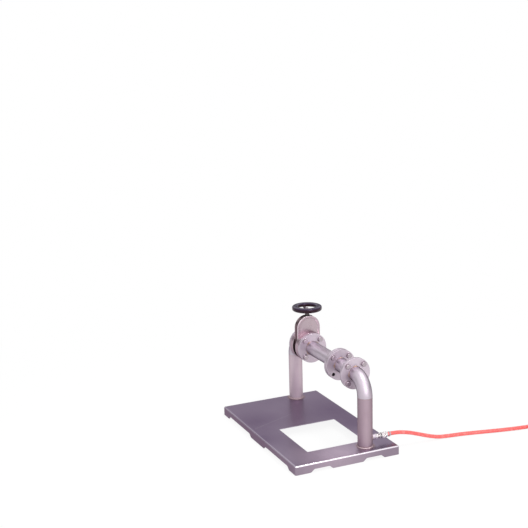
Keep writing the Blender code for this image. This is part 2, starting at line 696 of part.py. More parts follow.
def build_valve_half(name, side, hollows):
    """Half of the flat valve body, cast with the drum that takes the line's flange."""
    rim = BODY_HALF_THICKNESS
    round_inset = RIM_ROUND * (1 - math.sqrt(0.5))
    rings = []
    layers = [
        (0, GAP / 2),
        (0, rim - RIM_ROUND),
        (round_inset, rim - round_inset),
        (RIM_ROUND, rim),
        (RIM_WIDTH, rim),
        (RIM_WIDTH + FACE_RECESS / 2, rim - FACE_RECESS),
    ]
    for shrink, depth in layers:
        rings.append([(depth, y, z) for y, z in body_outline(shrink)])
    place = (VALVE_X, AXIS_Y, AXIS_HEIGHT)
    turn = (0, 0, 0 if side > 0 else math.pi)
    half = add_object(name, skin(bmesh.new(), rings), CAST_STEEL, place, turn)
    root = rim - FACE_RECESS - DRUM_ROOT
    drum_profile = [
        (0, root),
        (FLANGE_RADIUS - FLANGE_CHAMFER, root),
        (FLANGE_RADIUS, root + FLANGE_CHAMFER),
        (FLANGE_RADIUS, DRUM_END - FLANGE_CHAMFER),
        (FLANGE_RADIUS - FLANGE_CHAMFER, DRUM_END),
        (0, DRUM_END),
    ]
    rotation = ALONG_PLUS_X if side > 0 else ALONG_MINUS_X
    drum = add_tool(name + "_drum", turned(drum_profile, FLANGE_STEPS), place, rotation)
    combine(half, drum, "UNION")
    for tool in hollows:
        combine(half, tool, "DIFFERENCE")


def build_gate():
    """The sliding plate: a round blade, shoulders, and a forked tongue that holds the lift nut."""
    neck = GATE_SHOULDER + GATE_RADIUS - TONGUE_HALF
    outline = [(TONGUE_HALF, GATE_TOP), (-TONGUE_HALF, GATE_TOP), (-TONGUE_HALF, neck)]
    outline.append((-GATE_RADIUS, GATE_SHOULDER))
    for k in range(OUTLINE_STEPS + 1):
        angle = math.pi + math.pi * k / OUTLINE_STEPS
        outline.append((GATE_RADIUS * math.cos(angle), GATE_RADIUS * math.sin(angle)))
    outline += [(GATE_RADIUS, GATE_SHOULDER), (TONGUE_HALF, neck)]
    place = (VALVE_X, AXIS_Y, AXIS_HEIGHT)
    half = GATE_THICKNESS / 2
    gate = add_object("gate_plate", prism(outline, -half, half, along_x), STEEL, place)
    slot_radius = STEM_BORE + GAP
    reach = GATE_THICKNESS / 2 + CUT_PAST
    slot = slot_outline(slot_radius, SLOT_BOTTOM + slot_radius, GATE_TOP + slot_radius, SLOT_STEPS)
    combine(gate, add_tool("gate_slot_cutter", prism(slot, -reach, reach, along_x), place), "DIFFERENCE")
    side = LIFT_NUT_WIDTH / 2 + GAP
    low = LIFT_NUT_BOTTOM - GAP
    high = LIFT_NUT_TOP + GAP
    window = [(-side, low), (side, low), (side, high), (-side, high)]
    combine(gate, add_tool("gate_nut_cutter", prism(window, -reach, reach, along_x), place), "DIFFERENCE")

    a = LIFT_NUT_THICKNESS / 2
    b = LIFT_NUT_WIDTH / 2
    block = prism([(a, b), (-a, b), (-a, -b), (a, -b)], LIFT_NUT_BOTTOM, LIFT_NUT_TOP, along_z)
    nut = add_object("gate_lift_nut", block, BRASS, place)
    bore = skin(bmesh.new(), [circle(HEX_POINTS, STEM_BORE, z) for z in (STEM_END - CUT_PAST, GATE_TOP)])
    combine(nut, add_tool("lift_nut_bore_cutter", bore, place), "DIFFERENCE")


def build_seat_ring(name, side):
    inner_face = GATE_THICKNESS / 2 + GAP
    ring = tube(PORT_RADIUS, SEAT_RADIUS, inner_face, inner_face + SEAT_THICKNESS, PIPE_STEPS)
    rotation = ALONG_PLUS_X if side > 0 else ALONG_MINUS_X
    add_object(name, ring, SEAT_PLASTIC, (VALVE_X, AXIS_Y, AXIS_HEIGHT), rotation)


def build_stem_and_gland():
    place = (VALVE_X, AXIS_Y, AXIS_HEIGHT)
    rings = [
        circle(SMALL_STEPS, STEM_RADIUS - END_CHAMFER, STEM_END),
        circle(SMALL_STEPS, STEM_RADIUS, STEM_END + END_CHAMFER),
        circle(SMALL_STEPS, STEM_RADIUS, COLLAR_BOTTOM),
        circle(SMALL_STEPS, STEM_COLLAR_RADIUS, COLLAR_BOTTOM),
        circle(SMALL_STEPS, STEM_COLLAR_RADIUS, COLLAR_TOP),
        circle(SMALL_STEPS, STEM_RADIUS, COLLAR_TOP),
        circle(SMALL_STEPS, STEM_RADIUS, HUB_BOTTOM),
        squared_circle(STEM_RADIUS, TANG_FLATS, HUB_BOTTOM),
        squared_circle(STEM_RADIUS, TANG_FLATS, HUB_TOP),
        circle(SMALL_STEPS, THREAD_RADIUS, HUB_TOP),
        circle(SMALL_STEPS, THREAD_RADIUS, STEM_TOP - END_CHAMFER),
        circle(SMALL_STEPS, THREAD_RADIUS - END_CHAMFER, STEM_TOP),
    ]
    add_object("valve_stem", skin(bmesh.new(), rings), STEEL, place)

    box_profile = [
        (STEM_BORE, BOX_BOTTOM),
        (BOX_RADIUS, BOX_BOTTOM),
        (BOX_RADIUS, BOX_TOP),
        (BOX_BORE, BOX_TOP),
        (BOX_BORE, BOX_BOTTOM + BOX_FLOOR),
        (STEM_BORE, BOX_BOTTOM + BOX_FLOOR),
    ]
    add_object("stuffing_box", turned(box_profile, SMALL_STEPS), BLACKENED, place)
    packing = tube(STEM_BORE, STEM_COLLAR_RADIUS, COLLAR_TOP + GAP, BOX_TOP, SMALL_STEPS)
    add_object("stem_packing", packing, GASKET, place)
    rings = [
        circle(HEX_POINTS, STEM_BORE, GLAND_BOTTOM),
        hexagon(GLAND_FLATS, GLAND_BOTTOM),
        *hexagon_end(GLAND_FLATS, GLAND_TOP),
        circle(HEX_POINTS, STEM_BORE, GLAND_TOP),
    ]
    add_object("gland_nut", skin(bmesh.new(), rings, ring_shaped=True), BLACKENED, place)


def build_handwheel():
    """A dished wheel: a fat rim, three spokes down to a low hub, and a square hole."""
    place = (VALVE_X, AXIS_Y, AXIS_HEIGHT)
    middle = WHEEL_RADIUS - RIM_SECTION_WIDTH / 2
    section = []
    for k in range(RIM_POINTS):
        angle = 2 * math.pi * k / RIM_POINTS
        across = math.copysign(abs(math.cos(angle)) ** RIM_FULLNESS, math.cos(angle))
        up = math.copysign(abs(math.sin(angle)) ** RIM_FULLNESS, math.sin(angle))
        if up < 0:
            up *= 1 - RIM_UNDERSIDE * ((1 - across) / 2) ** 2
        radius = middle + RIM_SECTION_WIDTH / 2 * across
        section.append((radius, RIM_LEVEL + RIM_SECTION_HEIGHT / 2 * up))
    wheel = add_object("handwheel", turned(section, WHEEL_STEPS), BLACK, place)
    hub_profile = [
        (0, HUB_BOTTOM),
        (HUB_RADIUS, HUB_BOTTOM),
        (HUB_RADIUS, HUB_BOTTOM + HUB_HEIGHT / 2),
        (HUB_TOP_RADIUS, HUB_TOP),
        (0, HUB_TOP),
    ]
    combine(wheel, add_tool("hub_body", turned(hub_profile, SMALL_STEPS), place), "UNION")
    section = chamfered_rectangle(SPOKE_WIDTH, SPOKE_THICKNESS, SPOKE_CHAMFER)
    ends = [(HUB_RADIUS - SPOKE_ROOT, HUB_BOTTOM + HUB_HEIGHT * SPOKE_LEVEL), (middle, RIM_LEVEL)]
    for number, angle in enumerate(SPOKE_ANGLES):
        spoke = skin(bmesh.new(), [[(reach, a, level + b) for a, b in section] for reach, level in ends])
        turn = (0, 0, math.radians(angle))
        combine(wheel, add_tool(f"spoke_body_{number}", spoke, place, turn), "UNION")
    levels = (HUB_BOTTOM - CUT_PAST, HUB_TOP + CUT_PAST)
    hole = skin(bmesh.new(), [squared_circle(STEM_RADIUS + GAP, TANG_FLATS + 2 * GAP, z) for z in levels])
    combine(wheel, add_tool("hub_hole_cutter", hole, place), "DIFFERENCE")

    bore = THREAD_RADIUS + GAP
    washer = tube(bore, WHEEL_WASHER_RADIUS, WASHER_BOTTOM, WASHER_BOTTOM + WHEEL_WASHER_THICKNESS, SMALL_STEPS)
    add_object("wheel_washer", washer, BOLT_STEEL, place)
    rings = [
        circle(HEX_POINTS, bore, WHEEL_NUT_BOTTOM),
        hexagon(WHEEL_NUT_FLATS, WHEEL_NUT_BOTTOM),
        *hexagon_end(WHEEL_NUT_FLATS, WHEEL_NUT_TOP),
        circle(HEX_POINTS, bore, WHEEL_NUT_TOP),
    ]
    add_object("wheel_nut", skin(bmesh.new(), rings, ring_shaped=True), BOLT_STEEL, place)


def build_inlet(stand):
    """The fittings on the right stand, all on one axis along +Y."""
    place = (STAND_RIGHT_X, AXIS_Y, INLET_HEIGHT)
    drill = turned([(0, 0), (INLET_BORE, 0), (INLET_BORE, 2 * PIPE_RADIUS), (0, 2 * PIPE_RADIUS)], HEX_POINTS)
    combine(stand, add_tool("inlet_drill", drill, place, ALONG_PLUS_Y), "DIFFERENCE")

    socket = tube(INLET_BORE, SOCKET_RADIUS, PIPE_BORE, SOCKET_END, SMALL_STEPS)
    socket = add_object("inlet_socket", socket, STEEL, place, ALONG_PLUS_Y)
    saddle_heights = (INLET_HEIGHT - SOCKET_RADIUS - CUT_PAST, INLET_HEIGHT + SOCKET_RADIUS + CUT_PAST)
    saddle = skin(bmesh.new(), [circle(PIPE_STEPS * 2, PIPE_RADIUS + GAP, z) for z in saddle_heights])
    combine(socket, add_tool("saddle_cutter", saddle, (STAND_RIGHT_X, AXIS_Y, 0)), "DIFFERENCE")

    hex_end = ADAPTER_START + ADAPTER_HEX_LENGTH
    rings = [
        circle(HEX_POINTS, INLET_BORE, ADAPTER_START),
        hexagon(ADAPTER_FLATS, ADAPTER_START),
        hexagon(ADAPTER_FLATS, hex_end),
        circle(HEX_POINTS, ADAPTER_RADIUS, hex_end),
        circle(HEX_POINTS, ADAPTER_RADIUS, ADAPTER_END),
        circle(HEX_POINTS, INLET_BORE, ADAPTER_END),
    ]
    add_object("inlet_adapter", skin(bmesh.new(), rings, ring_shaped=True), NICKEL, place, ALONG_PLUS_Y)

    shoulder = SLEEVE_RADIUS - SHOULDER_STEP
    groove = SNAP_RING_START - GAP
    groove_radius = BARREL_RADIUS - SNAP_GROOVE_DEPTH
    plug_end = PLUG_COLLAR_START - PLUG_DEPTH - GAP
    barrel_profile = [
        (INLET_BORE, COUPLER_START),
        (shoulder, COUPLER_START),
        (shoulder, SHOULDER_END),
        (BARREL_RADIUS, SHOULDER_END),
        (BARREL_RADIUS, groove),
        (groove_radius, groove),
        (groove_radius, BARREL_END),
        (BARREL_BORE, BARREL_END),
        (BARREL_BORE, plug_end),
        (INLET_BORE, plug_end),
    ]
    add_object("coupler_barrel", turned(barrel_profile, SMALL_STEPS), NICKEL, place, ALONG_PLUS_Y)

    sleeve_profile = [
        (SLEEVE_BORE, SLEEVE_START),
        (SLEEVE_RADIUS - SLEEVE_CHAMFER, SLEEVE_START),
        (SLEEVE_RADIUS, SLEEVE_START + SLEEVE_CHAMFER),
        (SLEEVE_RADIUS, SLEEVE_END - SLEEVE_CHAMFER),
        (SLEEVE_RADIUS - SLEEVE_CHAMFER, SLEEVE_END),
        (BARREL_RADIUS + GAP, SLEEVE_END),
        (BARREL_RADIUS + GAP, LIP_START),
        (SLEEVE_BORE, LIP_START),
    ]
    add_object("coupler_sleeve", turned(sleeve_profile, SLEEVE_STEPS), NICKEL, place, ALONG_PLUS_Y)

    ring_radius = BARREL_RADIUS + SNAP_RING_PROUD
    ring_end = SNAP_RING_START + SNAP_RING_WIDTH
    ring = tube(groove_radius + GAP, ring_radius, SNAP_RING_START, ring_end, SMALL_STEPS)
    add_object("coupler_snap_ring", ring, BOLT_STEEL, place, ALONG_PLUS_Y)

    stem = BARREL_BORE - GAP
    plug_profile = [
        (PLUG_BORE, PLUG_COLLAR_START - PLUG_DEPTH),
        (stem, PLUG_COLLAR_START - PLUG_DEPTH),
        (stem, PLUG_COLLAR_START),
        (PLUG_COLLAR_RADIUS, PLUG_COLLAR_START),
        (PLUG_COLLAR_RADIUS, PLUG_COLLAR_END),
        (PLUG_BORE, PLUG_COLLAR_END),
    ]
    add_object("hose_plug", turned(plug_profile, SMALL_STEPS), NICKEL, place, ALONG_PLUS_Y)

    band_inner = HOSE_RADIUS + GAP
    band = tube(band_inner, band_inner + CLAMP_BAND, CLAMP_START, CLAMP_END, SLEEVE_STEPS)
    clamp = add_object("hose_clamp", band, BOLT_STEEL, place, ALONG_PLUS_Y)
    low = band_inner + CLAMP_BAND / 2
    high = low + CLAMP_EAR_HEIGHT
    foot = CLAMP_EAR_FOOT / 2
    top = CLAMP_EAR_TOP / 2
    ear = [(-foot, low), (foot, low), (top, high), (-top, high)]
    ear_body = prism(ear, CLAMP_START + CLAMP_EAR_INSET, CLAMP_END - CLAMP_EAR_INSET, along_z)
    combine(clamp, add_tool("clamp_ear", ear_body, place, ALONG_PLUS_Y), "UNION")


def curve_object(name, points, radius, surface, sides, location=(0, 0, 0), rotation=UPRIGHT):
    """A round rod along a run of points, closed at both ends."""
    curve = bpy.data.curves.new(name, "CURVE")
    curve.dimensions = "3D"
    curve.twist_mode = "MINIMUM"
    curve.bevel_depth = radius
    curve.bevel_resolution = sides // 2 - 2
    curve.use_fill_caps = True
    spline = curve.splines.new("POLY")
    spline.points.add(len(points) - 1)
    for spot, point in zip(spline.points, points):
        spot.co = (*point, 1)
    curve.materials.append(surface)
    obj = bpy.data.objects.new(name, curve)
    obj.location = location
    obj.rotation_euler = rotation
    bpy.context.scene.collection.objects.link(obj)
    return obj


def build_spring():
    """The sleeve's return spring, one wire from the shoulder to the sleeve's lip."""
    points_per_turn = 8
    count = SPRING_TURNS * points_per_turn
    low = SHOULDER_END + GAP + SPRING_WIRE
    high = LIP_START - GAP - SPRING_WIRE
    points = []
    for k in range(count + 1):
        angle = 2 * math.pi * k / points_per_turn
        height = low + (high - low) * k / count
        points.append((SPRING_RADIUS * math.cos(angle), SPRING_RADIUS * math.sin(angle), height))
    place = (STAND_RIGHT_X, AXIS_Y, INLET_HEIGHT)
    curve_object("coupler_spring", points, SPRING_WIRE, BOLT_STEEL, 6, place, ALONG_PLUS_Y)


def smooth_route(route, spacing):
    """A centripetal Catmull-Rom curve through the route, read at even steps."""
    knots = np.array(route, float)
    knots = np.vstack([2 * knots[0] - knots[1], knots, 2 * knots[-1] - knots[-2]])
    dense = []
    for a, b, c, d in zip(knots, knots[1:], knots[2:], knots[3:]):
        t1 = np.linalg.norm(b - a) ** 0.5
        t2 = t1 + np.linalg.norm(c - b) ** 0.5
        t3 = t2 + np.linalg.norm(d - c) ** 0.5
        for t in np.linspace(t1, t2, 24, endpoint=False):
            ab = (t1 - t) / t1 * a + t / t1 * b
            bc = (t2 - t) / (t2 - t1) * b + (t - t1) / (t2 - t1) * c
            cd = (t3 - t) / (t3 - t2) * c + (t - t2) / (t3 - t2) * d
            abc = (t2 - t) / t2 * ab + t / t2 * bc
            bcd = (t3 - t) / (t3 - t1) * bc + (t - t1) / (t3 - t1) * cd
            dense.append((t2 - t) / (t2 - t1) * abc + (t - t1) / (t2 - t1) * bcd)
    dense.append(knots[-2])
    dense = np.array(dense)
    reach = np.concatenate([[0], np.cumsum(np.linalg.norm(np.diff(dense, axis=0), axis=1))])
    steps = max(2, round(reach[-1] / spacing))
    marks = np.linspace(0, reach[-1], steps + 1)
    return np.stack([np.interp(marks, reach, dense[:, k]) for k in range(3)], axis=1)


def smooth_step(value):
    value = np.clip(value, 0, 1)
    return value * value * (3 - 2 * value)


def coil_points():
    """Turns that spiral in on the floor, climb a layer where they reverse, and spiral out on top."""
    per_turn = 24
    start = Vector((COIL_START_X, COIL_START_Y + GAP, HOSE_FLOOR))
    centre = start + Vector((COIL_OUTER_RADIUS, COIL_LEAD, 0))
    points = [tuple(start)]
    turns = np.linspace(0, COIL_TURNS, COIL_TURNS * per_turn + 1)
    radius = COIL_INNER_RADIUS + COIL_PITCH * np.abs(turns - COIL_TURNS / 2)
    angle = math.pi - 2 * math.pi * turns
    height = centre.z + COIL_LAYER * smooth_step((turns - COIL_TURNS / 2 + 0.25) / 0.5)
    for r, a, z in zip(radius, angle, height):
        points.append((centre.x + r * math.cos(a), centre.y + r * math.sin(a), float(z)))
    x, y, z = points[-1]
    bend = TAIL_LENGTH - HOSE_STRAIGHT
    steps = 6
    for k in range(1, steps + 1):
        share = float(smooth_step(k / steps))
        drop = share**2  # later than the shift, so that the tail clears the first turn
        points.append((x - TAIL_SHIFT * share, y + bend * k / steps, z + (HOSE_END_HEIGHT - z) * drop))
    points.append((x - TAIL_SHIFT, y + TAIL_LENGTH, HOSE_END_HEIGHT))
    return points


def least_gap(points, radius):
    """The smallest distance between two stretches of a tube, surface to surface."""
    path = np.array(points)
    shares = np.linspace(0, 1, 4, endpoint=False)[:, None]
    fine = np.vstack([a + (b - a) * shares for a, b in zip(path, path[1:])])
    reach = np.concatenate([[0], np.cumsum(np.linalg.norm(np.diff(fine, axis=0), axis=1))])
    spread = np.linalg.norm(fine[:, None] - fine[None], axis=2)
    apart = np.abs(reach[:, None] - reach[None]) > 6 * radius
    return spread[apart].min() - 2 * radius


def path_length(points):
    return float(np.linalg.norm(np.diff(np.array(points), axis=0), axis=1).sum())


def build_hose():
    """The red hose: its free stretch, its coil and the connector on its end."""
    run = smooth_route(HOSE_ROUTE, HOSE_POINT_SPACING)
    run = [p for p in run if HOSE_EXIT_Y + HOSE_STRAIGHT < p[1] < COIL_START_Y - HOSE_STRAIGHT]
    run = [
        HOSE_ROUTE[0],
        (STAND_RIGHT_X, HOSE_EXIT_Y + HOSE_STRAIGHT, INLET_HEIGHT),
        *run,
        (COIL_START_X, COIL_START_Y - HOSE_STRAIGHT, HOSE_FLOOR),
        HOSE_ROUTE[-1],
    ]
    curve_object("hose_run", run, HOSE_RADIUS, HOSE_RED, 10)
    coil = coil_points()
    curve_object("hose_coil", coil, HOSE_RADIUS, HOSE_RED, 6)
    print(f"hose coil: least gap to itself {least_gap(coil, HOSE_RADIUS) * 1000:.2f} mm")
    print(f"hose: {path_length(run):.3f} m free, {path_length(coil):.3f} m coiled")

    end = Vector(coil[-1])
    place = (end.x, end.y + GAP, end.z)
    bore = NIPPLE_RADIUS + GAP
    ferrule = tube(bore, HOSE_RADIUS + FERRULE_WALL, 0, FERRULE_LENGTH, SMALL_STEPS, FERRULE_CHAMFER)
    add_object("hose_end_ferrule", ferrule, BRASS, place, ALONG_PLUS_Y)
    nut_start = FERRULE_LENGTH + GAP
    nut_end = nut_start + END_NUT_LENGTH
    shoulder = nut_start + END_NUT_BACK
    rings = [
        circle(HEX_POINTS, bore, nut_start),
        *hexagon_end(END_NUT_FLATS, nut_start, -1)[::-1],
        *hexagon_end(END_NUT_FLATS, nut_end),
        circle(HEX_POINTS, END_NUT_BORE, nut_end),
        circle(HEX_POINTS, END_NUT_BORE, shoulder),
        circle(HEX_POINTS, bore, shoulder),
    ]
    add_object("hose_end_nut", skin(bmesh.new(), rings, ring_shaped=True), BRASS, place, ALONG_PLUS_Y)
    head = shoulder + GAP
    head_radius = END_NUT_BORE - NIPPLE_HEAD_ROOM
    nipple_profile = [
        (NIPPLE_BORE, NIPPLE_SETBACK),
        (NIPPLE_RADIUS, NIPPLE_SETBACK),
        (NIPPLE_RADIUS, head),
        (head_radius, head),
        (head_radius, head + NIPPLE_HEAD_STRAIGHT),
        (NIPPLE_TIP_RADIUS, head + NIPPLE_HEAD_LENGTH),
        (NIPPLE_BORE, head + NIPPLE_HEAD_LENGTH),
    ]
    add_object("hose_end_nipple", turned(nipple_profile, SMALL_STEPS), BRASS, place, ALONG_PLUS_Y)


def build_pipework():
    stand = build_stand("stand_right", STAND_RIGHT_X)
    build_stand("stand_left", STAND_LEFT_X)
    build_elbow("elbow_right", STAND_RIGHT_X, -1, ELBOW_FLANGE_X - ELBOW_JOINT_X)
    build_elbow("elbow_left", STAND_LEFT_X, 1, LEFT_TANGENT)
    pair_far_x = PAIR_FLANGE_X - FLANGE_THICKNESS - GASKET_SPACE
    build_pipe("spool_pipe", PAIR_FLANGE_X - FLANGE_THICKNESS + PIPE_SETBACK, ELBOW_JOINT_X - GAP)
    build_pipe("run_pipe", RUN_FLANGE_X - FLANGE_THICKNESS + PIPE_SETBACK, pair_far_x - PIPE_SETBACK)
    build_flange("elbow_flange", ELBOW_FLANGE_X)
    build_flange("pair_flange_near", PAIR_FLANGE_X)
    build_flange("pair_flange_far", pair_far_x)
    build_flange("run_flange", RUN_FLANGE_X)
    build_flange("left_flange", LEFT_FLANGE_X + FLANGE_THICKNESS)
    build_gasket("pair_gasket", pair_far_x)
    build_gasket("valve_gasket_near", VALVE_X + DRUM_END)
    build_gasket("valve_gasket_far", VALVE_X - LINE_FLANGE_IN)
    return stand


def build_joints():
    """The bolting of the four joints; one hole of the middle pair stays open."""
    pair_grip = 2 * FLANGE_THICKNESS + GASKET_SPACE
    valve_reach = FLANGE_THICKNESS + GASKET_SPACE + TAPPED_DEPTH - TAPPED_SPARE
    kept = [angle for angle in BOLT_ANGLES if angle != OPEN_HOLE_ANGLE]
    build_bolting("elbow_joint", ELBOW_FLANGE_X, nut_on_bolt(FLANGE_THICKNESS), ALONG_PLUS_X, BOLT_ANGLES)
    build_bolting("pair_joint", PAIR_FLANGE_X, nut_on_bolt(pair_grip), ALONG_PLUS_X, kept)
    build_bolting("valve_near", RUN_FLANGE_X, plain_shank(valve_reach), ALONG_PLUS_X, BOLT_ANGLES)
    build_bolting("valve_far", LEFT_FLANGE_X, plain_shank(valve_reach), ALONG_MINUS_X, BOLT_ANGLES)


def build_valve():
    hollows = valve_hollows() + [tapped_holes()]
    build_valve_half("valve_body_near", 1, hollows)
    build_valve_half("valve_body_far", -1, hollows)
    build_seat_ring("seat_ring_near", 1)
    build_seat_ring("seat_ring_far", -1)
    build_gate()
    build_stem_and_gland()
    build_handwheel()


def build():
    for obj in list(bpy.data.objects):
        bpy.data.objects.remove(obj)
    build_tray()
    right_stand = build_pipework()
    build_joints()
    build_valve()
    build_inlet(right_stand)
    build_spring()
    build_hose()


build()
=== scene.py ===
# %% [markdown]
# # A gas-fed pipe prop: two stands, flanged joints and a gate valve on a folded tray
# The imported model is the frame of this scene: every piece here sits where the frame says and moves with its
# bodies. Each cell makes one thing. First come the helpers, then the camera and the hose, then the steelwork
# from the tray upwards, and last the light.

# %% The frame
import functools
import math

import bmesh
import bpy
import numpy as np
from mathutils import Matrix, Vector


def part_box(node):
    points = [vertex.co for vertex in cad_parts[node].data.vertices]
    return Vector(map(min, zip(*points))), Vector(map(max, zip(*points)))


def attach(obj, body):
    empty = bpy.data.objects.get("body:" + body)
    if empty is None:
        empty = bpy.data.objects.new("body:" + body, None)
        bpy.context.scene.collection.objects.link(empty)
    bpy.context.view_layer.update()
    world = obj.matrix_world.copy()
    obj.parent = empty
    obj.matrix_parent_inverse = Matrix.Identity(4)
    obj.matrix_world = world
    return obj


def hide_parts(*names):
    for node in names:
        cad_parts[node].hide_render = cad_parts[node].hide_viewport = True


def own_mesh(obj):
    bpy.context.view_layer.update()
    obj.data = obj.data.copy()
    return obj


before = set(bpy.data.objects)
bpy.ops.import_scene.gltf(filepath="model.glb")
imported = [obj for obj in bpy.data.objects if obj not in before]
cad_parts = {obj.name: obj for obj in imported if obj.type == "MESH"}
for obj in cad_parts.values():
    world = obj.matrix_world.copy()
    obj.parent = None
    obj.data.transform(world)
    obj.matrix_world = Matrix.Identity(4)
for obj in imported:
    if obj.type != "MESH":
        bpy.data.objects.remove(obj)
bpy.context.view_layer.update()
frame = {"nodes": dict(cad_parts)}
nodes = frame["nodes"]


def add_object(name, data):
    """Make an object of this data and put it in the scene."""
    made = bpy.data.objects.new(name, data)
    bpy.context.scene.collection.objects.link(made)
    return made


# %% [markdown]
# ## The camera
# The photograph is a long-lens view over the tray's near corner. The camera's place was worked out by fitting
# the tray, the pipes, the flanges and the wheel to real pipe sizes. It is kept as the point it aims at, two
# angles, a distance and a slight roll about its own axis.

# %% Camera
AIM = Vector((-0.113739, -0.126167, 0.716384))
AZIMUTH, ELEVATION, ROLL = (math.radians(angle) for angle in (66.541, 13.003, -1.537))
DISTANCE = 4.409758
PIXELS = 528
FOCAL_PIXELS = 1076.441
CENTRE_PIXEL = (264.14, 265.142)

back = Vector((math.sin(AZIMUTH), -math.cos(AZIMUTH), math.tan(ELEVATION))).normalized()
level = Vector((0, 0, 1)).cross(back).normalized()
upright = back.cross(level)
right = math.cos(ROLL) * level + math.sin(ROLL) * upright
up = back.cross(right)
lens = bpy.data.cameras.new("photo_view")
lens.sensor_width = 36
lens.lens = FOCAL_PIXELS / PIXELS * lens.sensor_width
lens.shift_x = (PIXELS / 2 - CENTRE_PIXEL[0]) / PIXELS
lens.shift_y = (CENTRE_PIXEL[1] - PIXELS / 2) / PIXELS
camera = add_object("photo_view", lens)
turned = Matrix((right, up, back)).transposed().to_4x4()
camera.matrix_world = Matrix.Translation(AIM + DISTANCE * back) @ turned
bpy.context.scene.camera = camera
print("camera at", [round(v, 3) for v in camera.matrix_world.translation], "lens", round(lens.lens, 2))

# %% [markdown]
# ## Surfaces from numpy
# Nearly everything on this object is turned, bent, drawn or milled, so its surface is a grid: rows that
# follow a profile, columns that go round or along. A grid is one array of shape (rows, columns, 3). Plain
# index arithmetic makes its quads, so no loop runs over its points. Points that meet, as at a pole, are
# merged.


# %% Grids and pieces
def corner_numbers(rows, columns, wrap_rows, wrap_columns):
    """The four corners of every quad of a grid. A wrapped side joins its last line of points to its first."""
    r = np.arange(rows if wrap_rows else rows - 1)[:, None]
    c = np.arange(columns if wrap_columns else columns - 1)[None, :]
    below, above = r * columns, (r + 1) % rows * columns
    left, right = c, (c + 1) % columns
    return np.stack([below + left, below + right, above + right, above + left], axis=-1).reshape(-1, 4)


def tidy_mesh(mesh, sharp):
    """Merge points that meet, face everything outward, and mark the edges that stay crisp."""
    work = bmesh.new()
    work.from_mesh(mesh)
    bmesh.ops.remove_doubles(work, verts=work.verts, dist=2e-6)
    bmesh.ops.dissolve_degenerate(work, edges=work.edges, dist=1e-6)
    bmesh.ops.recalc_face_normals(work, faces=work.faces)
    work.to_mesh(mesh)
    work.free()
    mesh.shade_smooth()
    mesh.set_sharp_from_angle(angle=math.radians(sharp))


def make_piece(name, *grids, sharp=32):
    """Join grids, each (points, wrap_rows, wrap_columns), into one object with its place in its mesh."""
    points, quads, start = [], [], 0
    for grid, wrap_rows, wrap_columns in grids:
        points.append(grid.reshape(-1, 3))
        quads.append(corner_numbers(*grid.shape[:2], wrap_rows, wrap_columns) + start)
        start += len(points[-1])
    mesh = bpy.data.meshes.new(name)
    mesh.from_pydata(np.concatenate(points), [], np.concatenate(quads))
    tidy_mesh(mesh, sharp)
    return add_object(name, mesh)


def settle(piece, slot, material, *replaced, body="stand"):
    """Say which finish the piece takes, which CAD nodes it stands for, and what it moves with."""
    piece.data.materials.clear()
    piece.data.materials.append(material)
    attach(piece, body)
    if replaced:
        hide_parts(*replaced)
    return piece


print("grid helpers ready")

# %% [markdown]
# ## Profiles and paths
# A machined part is a profile turned about an axis. Real edges are never razor sharp: a small round on each
# corner of the profile catches the light as a thin line, which is much of what makes metal look like metal.
# Where a flat meets a round, one more row of points close by keeps the flat's shading flat. A bead, a spring
# or a hose is a circle carried along a path.

# %% Turning, placing and carrying
AXES = {
    "+X": np.array([[0, 1, 0], [0, 0, 1], [1, 0, 0]], float),
    "-X": np.array([[0, -1, 0], [0, 0, 1], [-1, 0, 0]], float),
    "+Y": np.array([[-1, 0, 0], [0, 0, 1], [0, 1, 0]], float),
    "+Z": np.eye(3),
}


def put(points, origin, axis="+Z"):
    """Lay points made along Z on another axis, and move them to their place."""
    return points @ AXES[axis] + np.array(origin, float)


def round_angles(steps, start=0.0):
    return start + np.linspace(0, 2 * math.pi, steps, endpoint=False)


def spin(r, h, origin, axis="+Z", closed=True, steps=96):
    """The point at angle a is (r cos a, r sin a, h). Both may change with the row and the angle."""
    columns = max(np.shape(r)[1], np.shape(h)[1])
    a = round_angles(columns if columns > 1 else steps)[None, :]
    grid = np.stack(np.broadcast_arrays(r * np.cos(a), r * np.sin(a), h + 0 * a), axis=-1)
    return put(grid, origin, axis), closed, True


def rounded(before, corners, after, steps=5):
    """Round each corner P between points A and B: (1-t)^2 A + 2t(1-t) P + t^2 B."""
    t = np.linspace(0, 1, steps)[None, :, None]
    return (1 - t) ** 2 * before[:, None] + 2 * t * (1 - t) * corners[:, None] + t**2 * after[:, None]


def soften(profile, radius, steps=4):
    """Round the corners of a closed outline, with one more point close by on either side of each."""
    corners = np.array(profile, float)
    to_before = np.roll(corners, 1, axis=0) - corners
    to_after = np.roll(corners, -1, axis=0) - corners
    reach_before = np.linalg.norm(to_before, axis=1, keepdims=True)
    reach_after = np.linalg.norm(to_after, axis=1, keepdims=True)
    cut = np.minimum(radius, 0.4 * np.minimum(reach_before, reach_after))
    start = corners + to_before / reach_before * cut
    end = corners + to_after / reach_after * cut
    curve = rounded(start, corners, end, steps)
    lead_in = start + to_before / reach_before * 0.2 * cut
    lead_out = end + to_after / reach_after * 0.2 * cut
    return np.concatenate([lead_in[:, None], curve, lead_out[:, None]], axis=1).reshape(-1, 2)


def lathe(rows, origin, axis="+Z", closed=True, steps=96):
    """Spin an outline of (radius, height) pairs as it is."""
    rows = np.array(rows, float)
    return spin(rows[:, :1], rows[:, 1:], origin, axis, closed, steps)


def turn(profile, origin, axis="+Z", soft=0.0003, steps=96):
    """Turn a closed outline of (radius, height) pairs about an axis, its corners rounded first."""
    return lathe(soften(profile, soft), origin, axis, True, steps)


def band(inner, outer, low, high):
    """The outline of a plain ring."""
    return [(inner, low), (outer, low), (outer, high), (inner, high)]


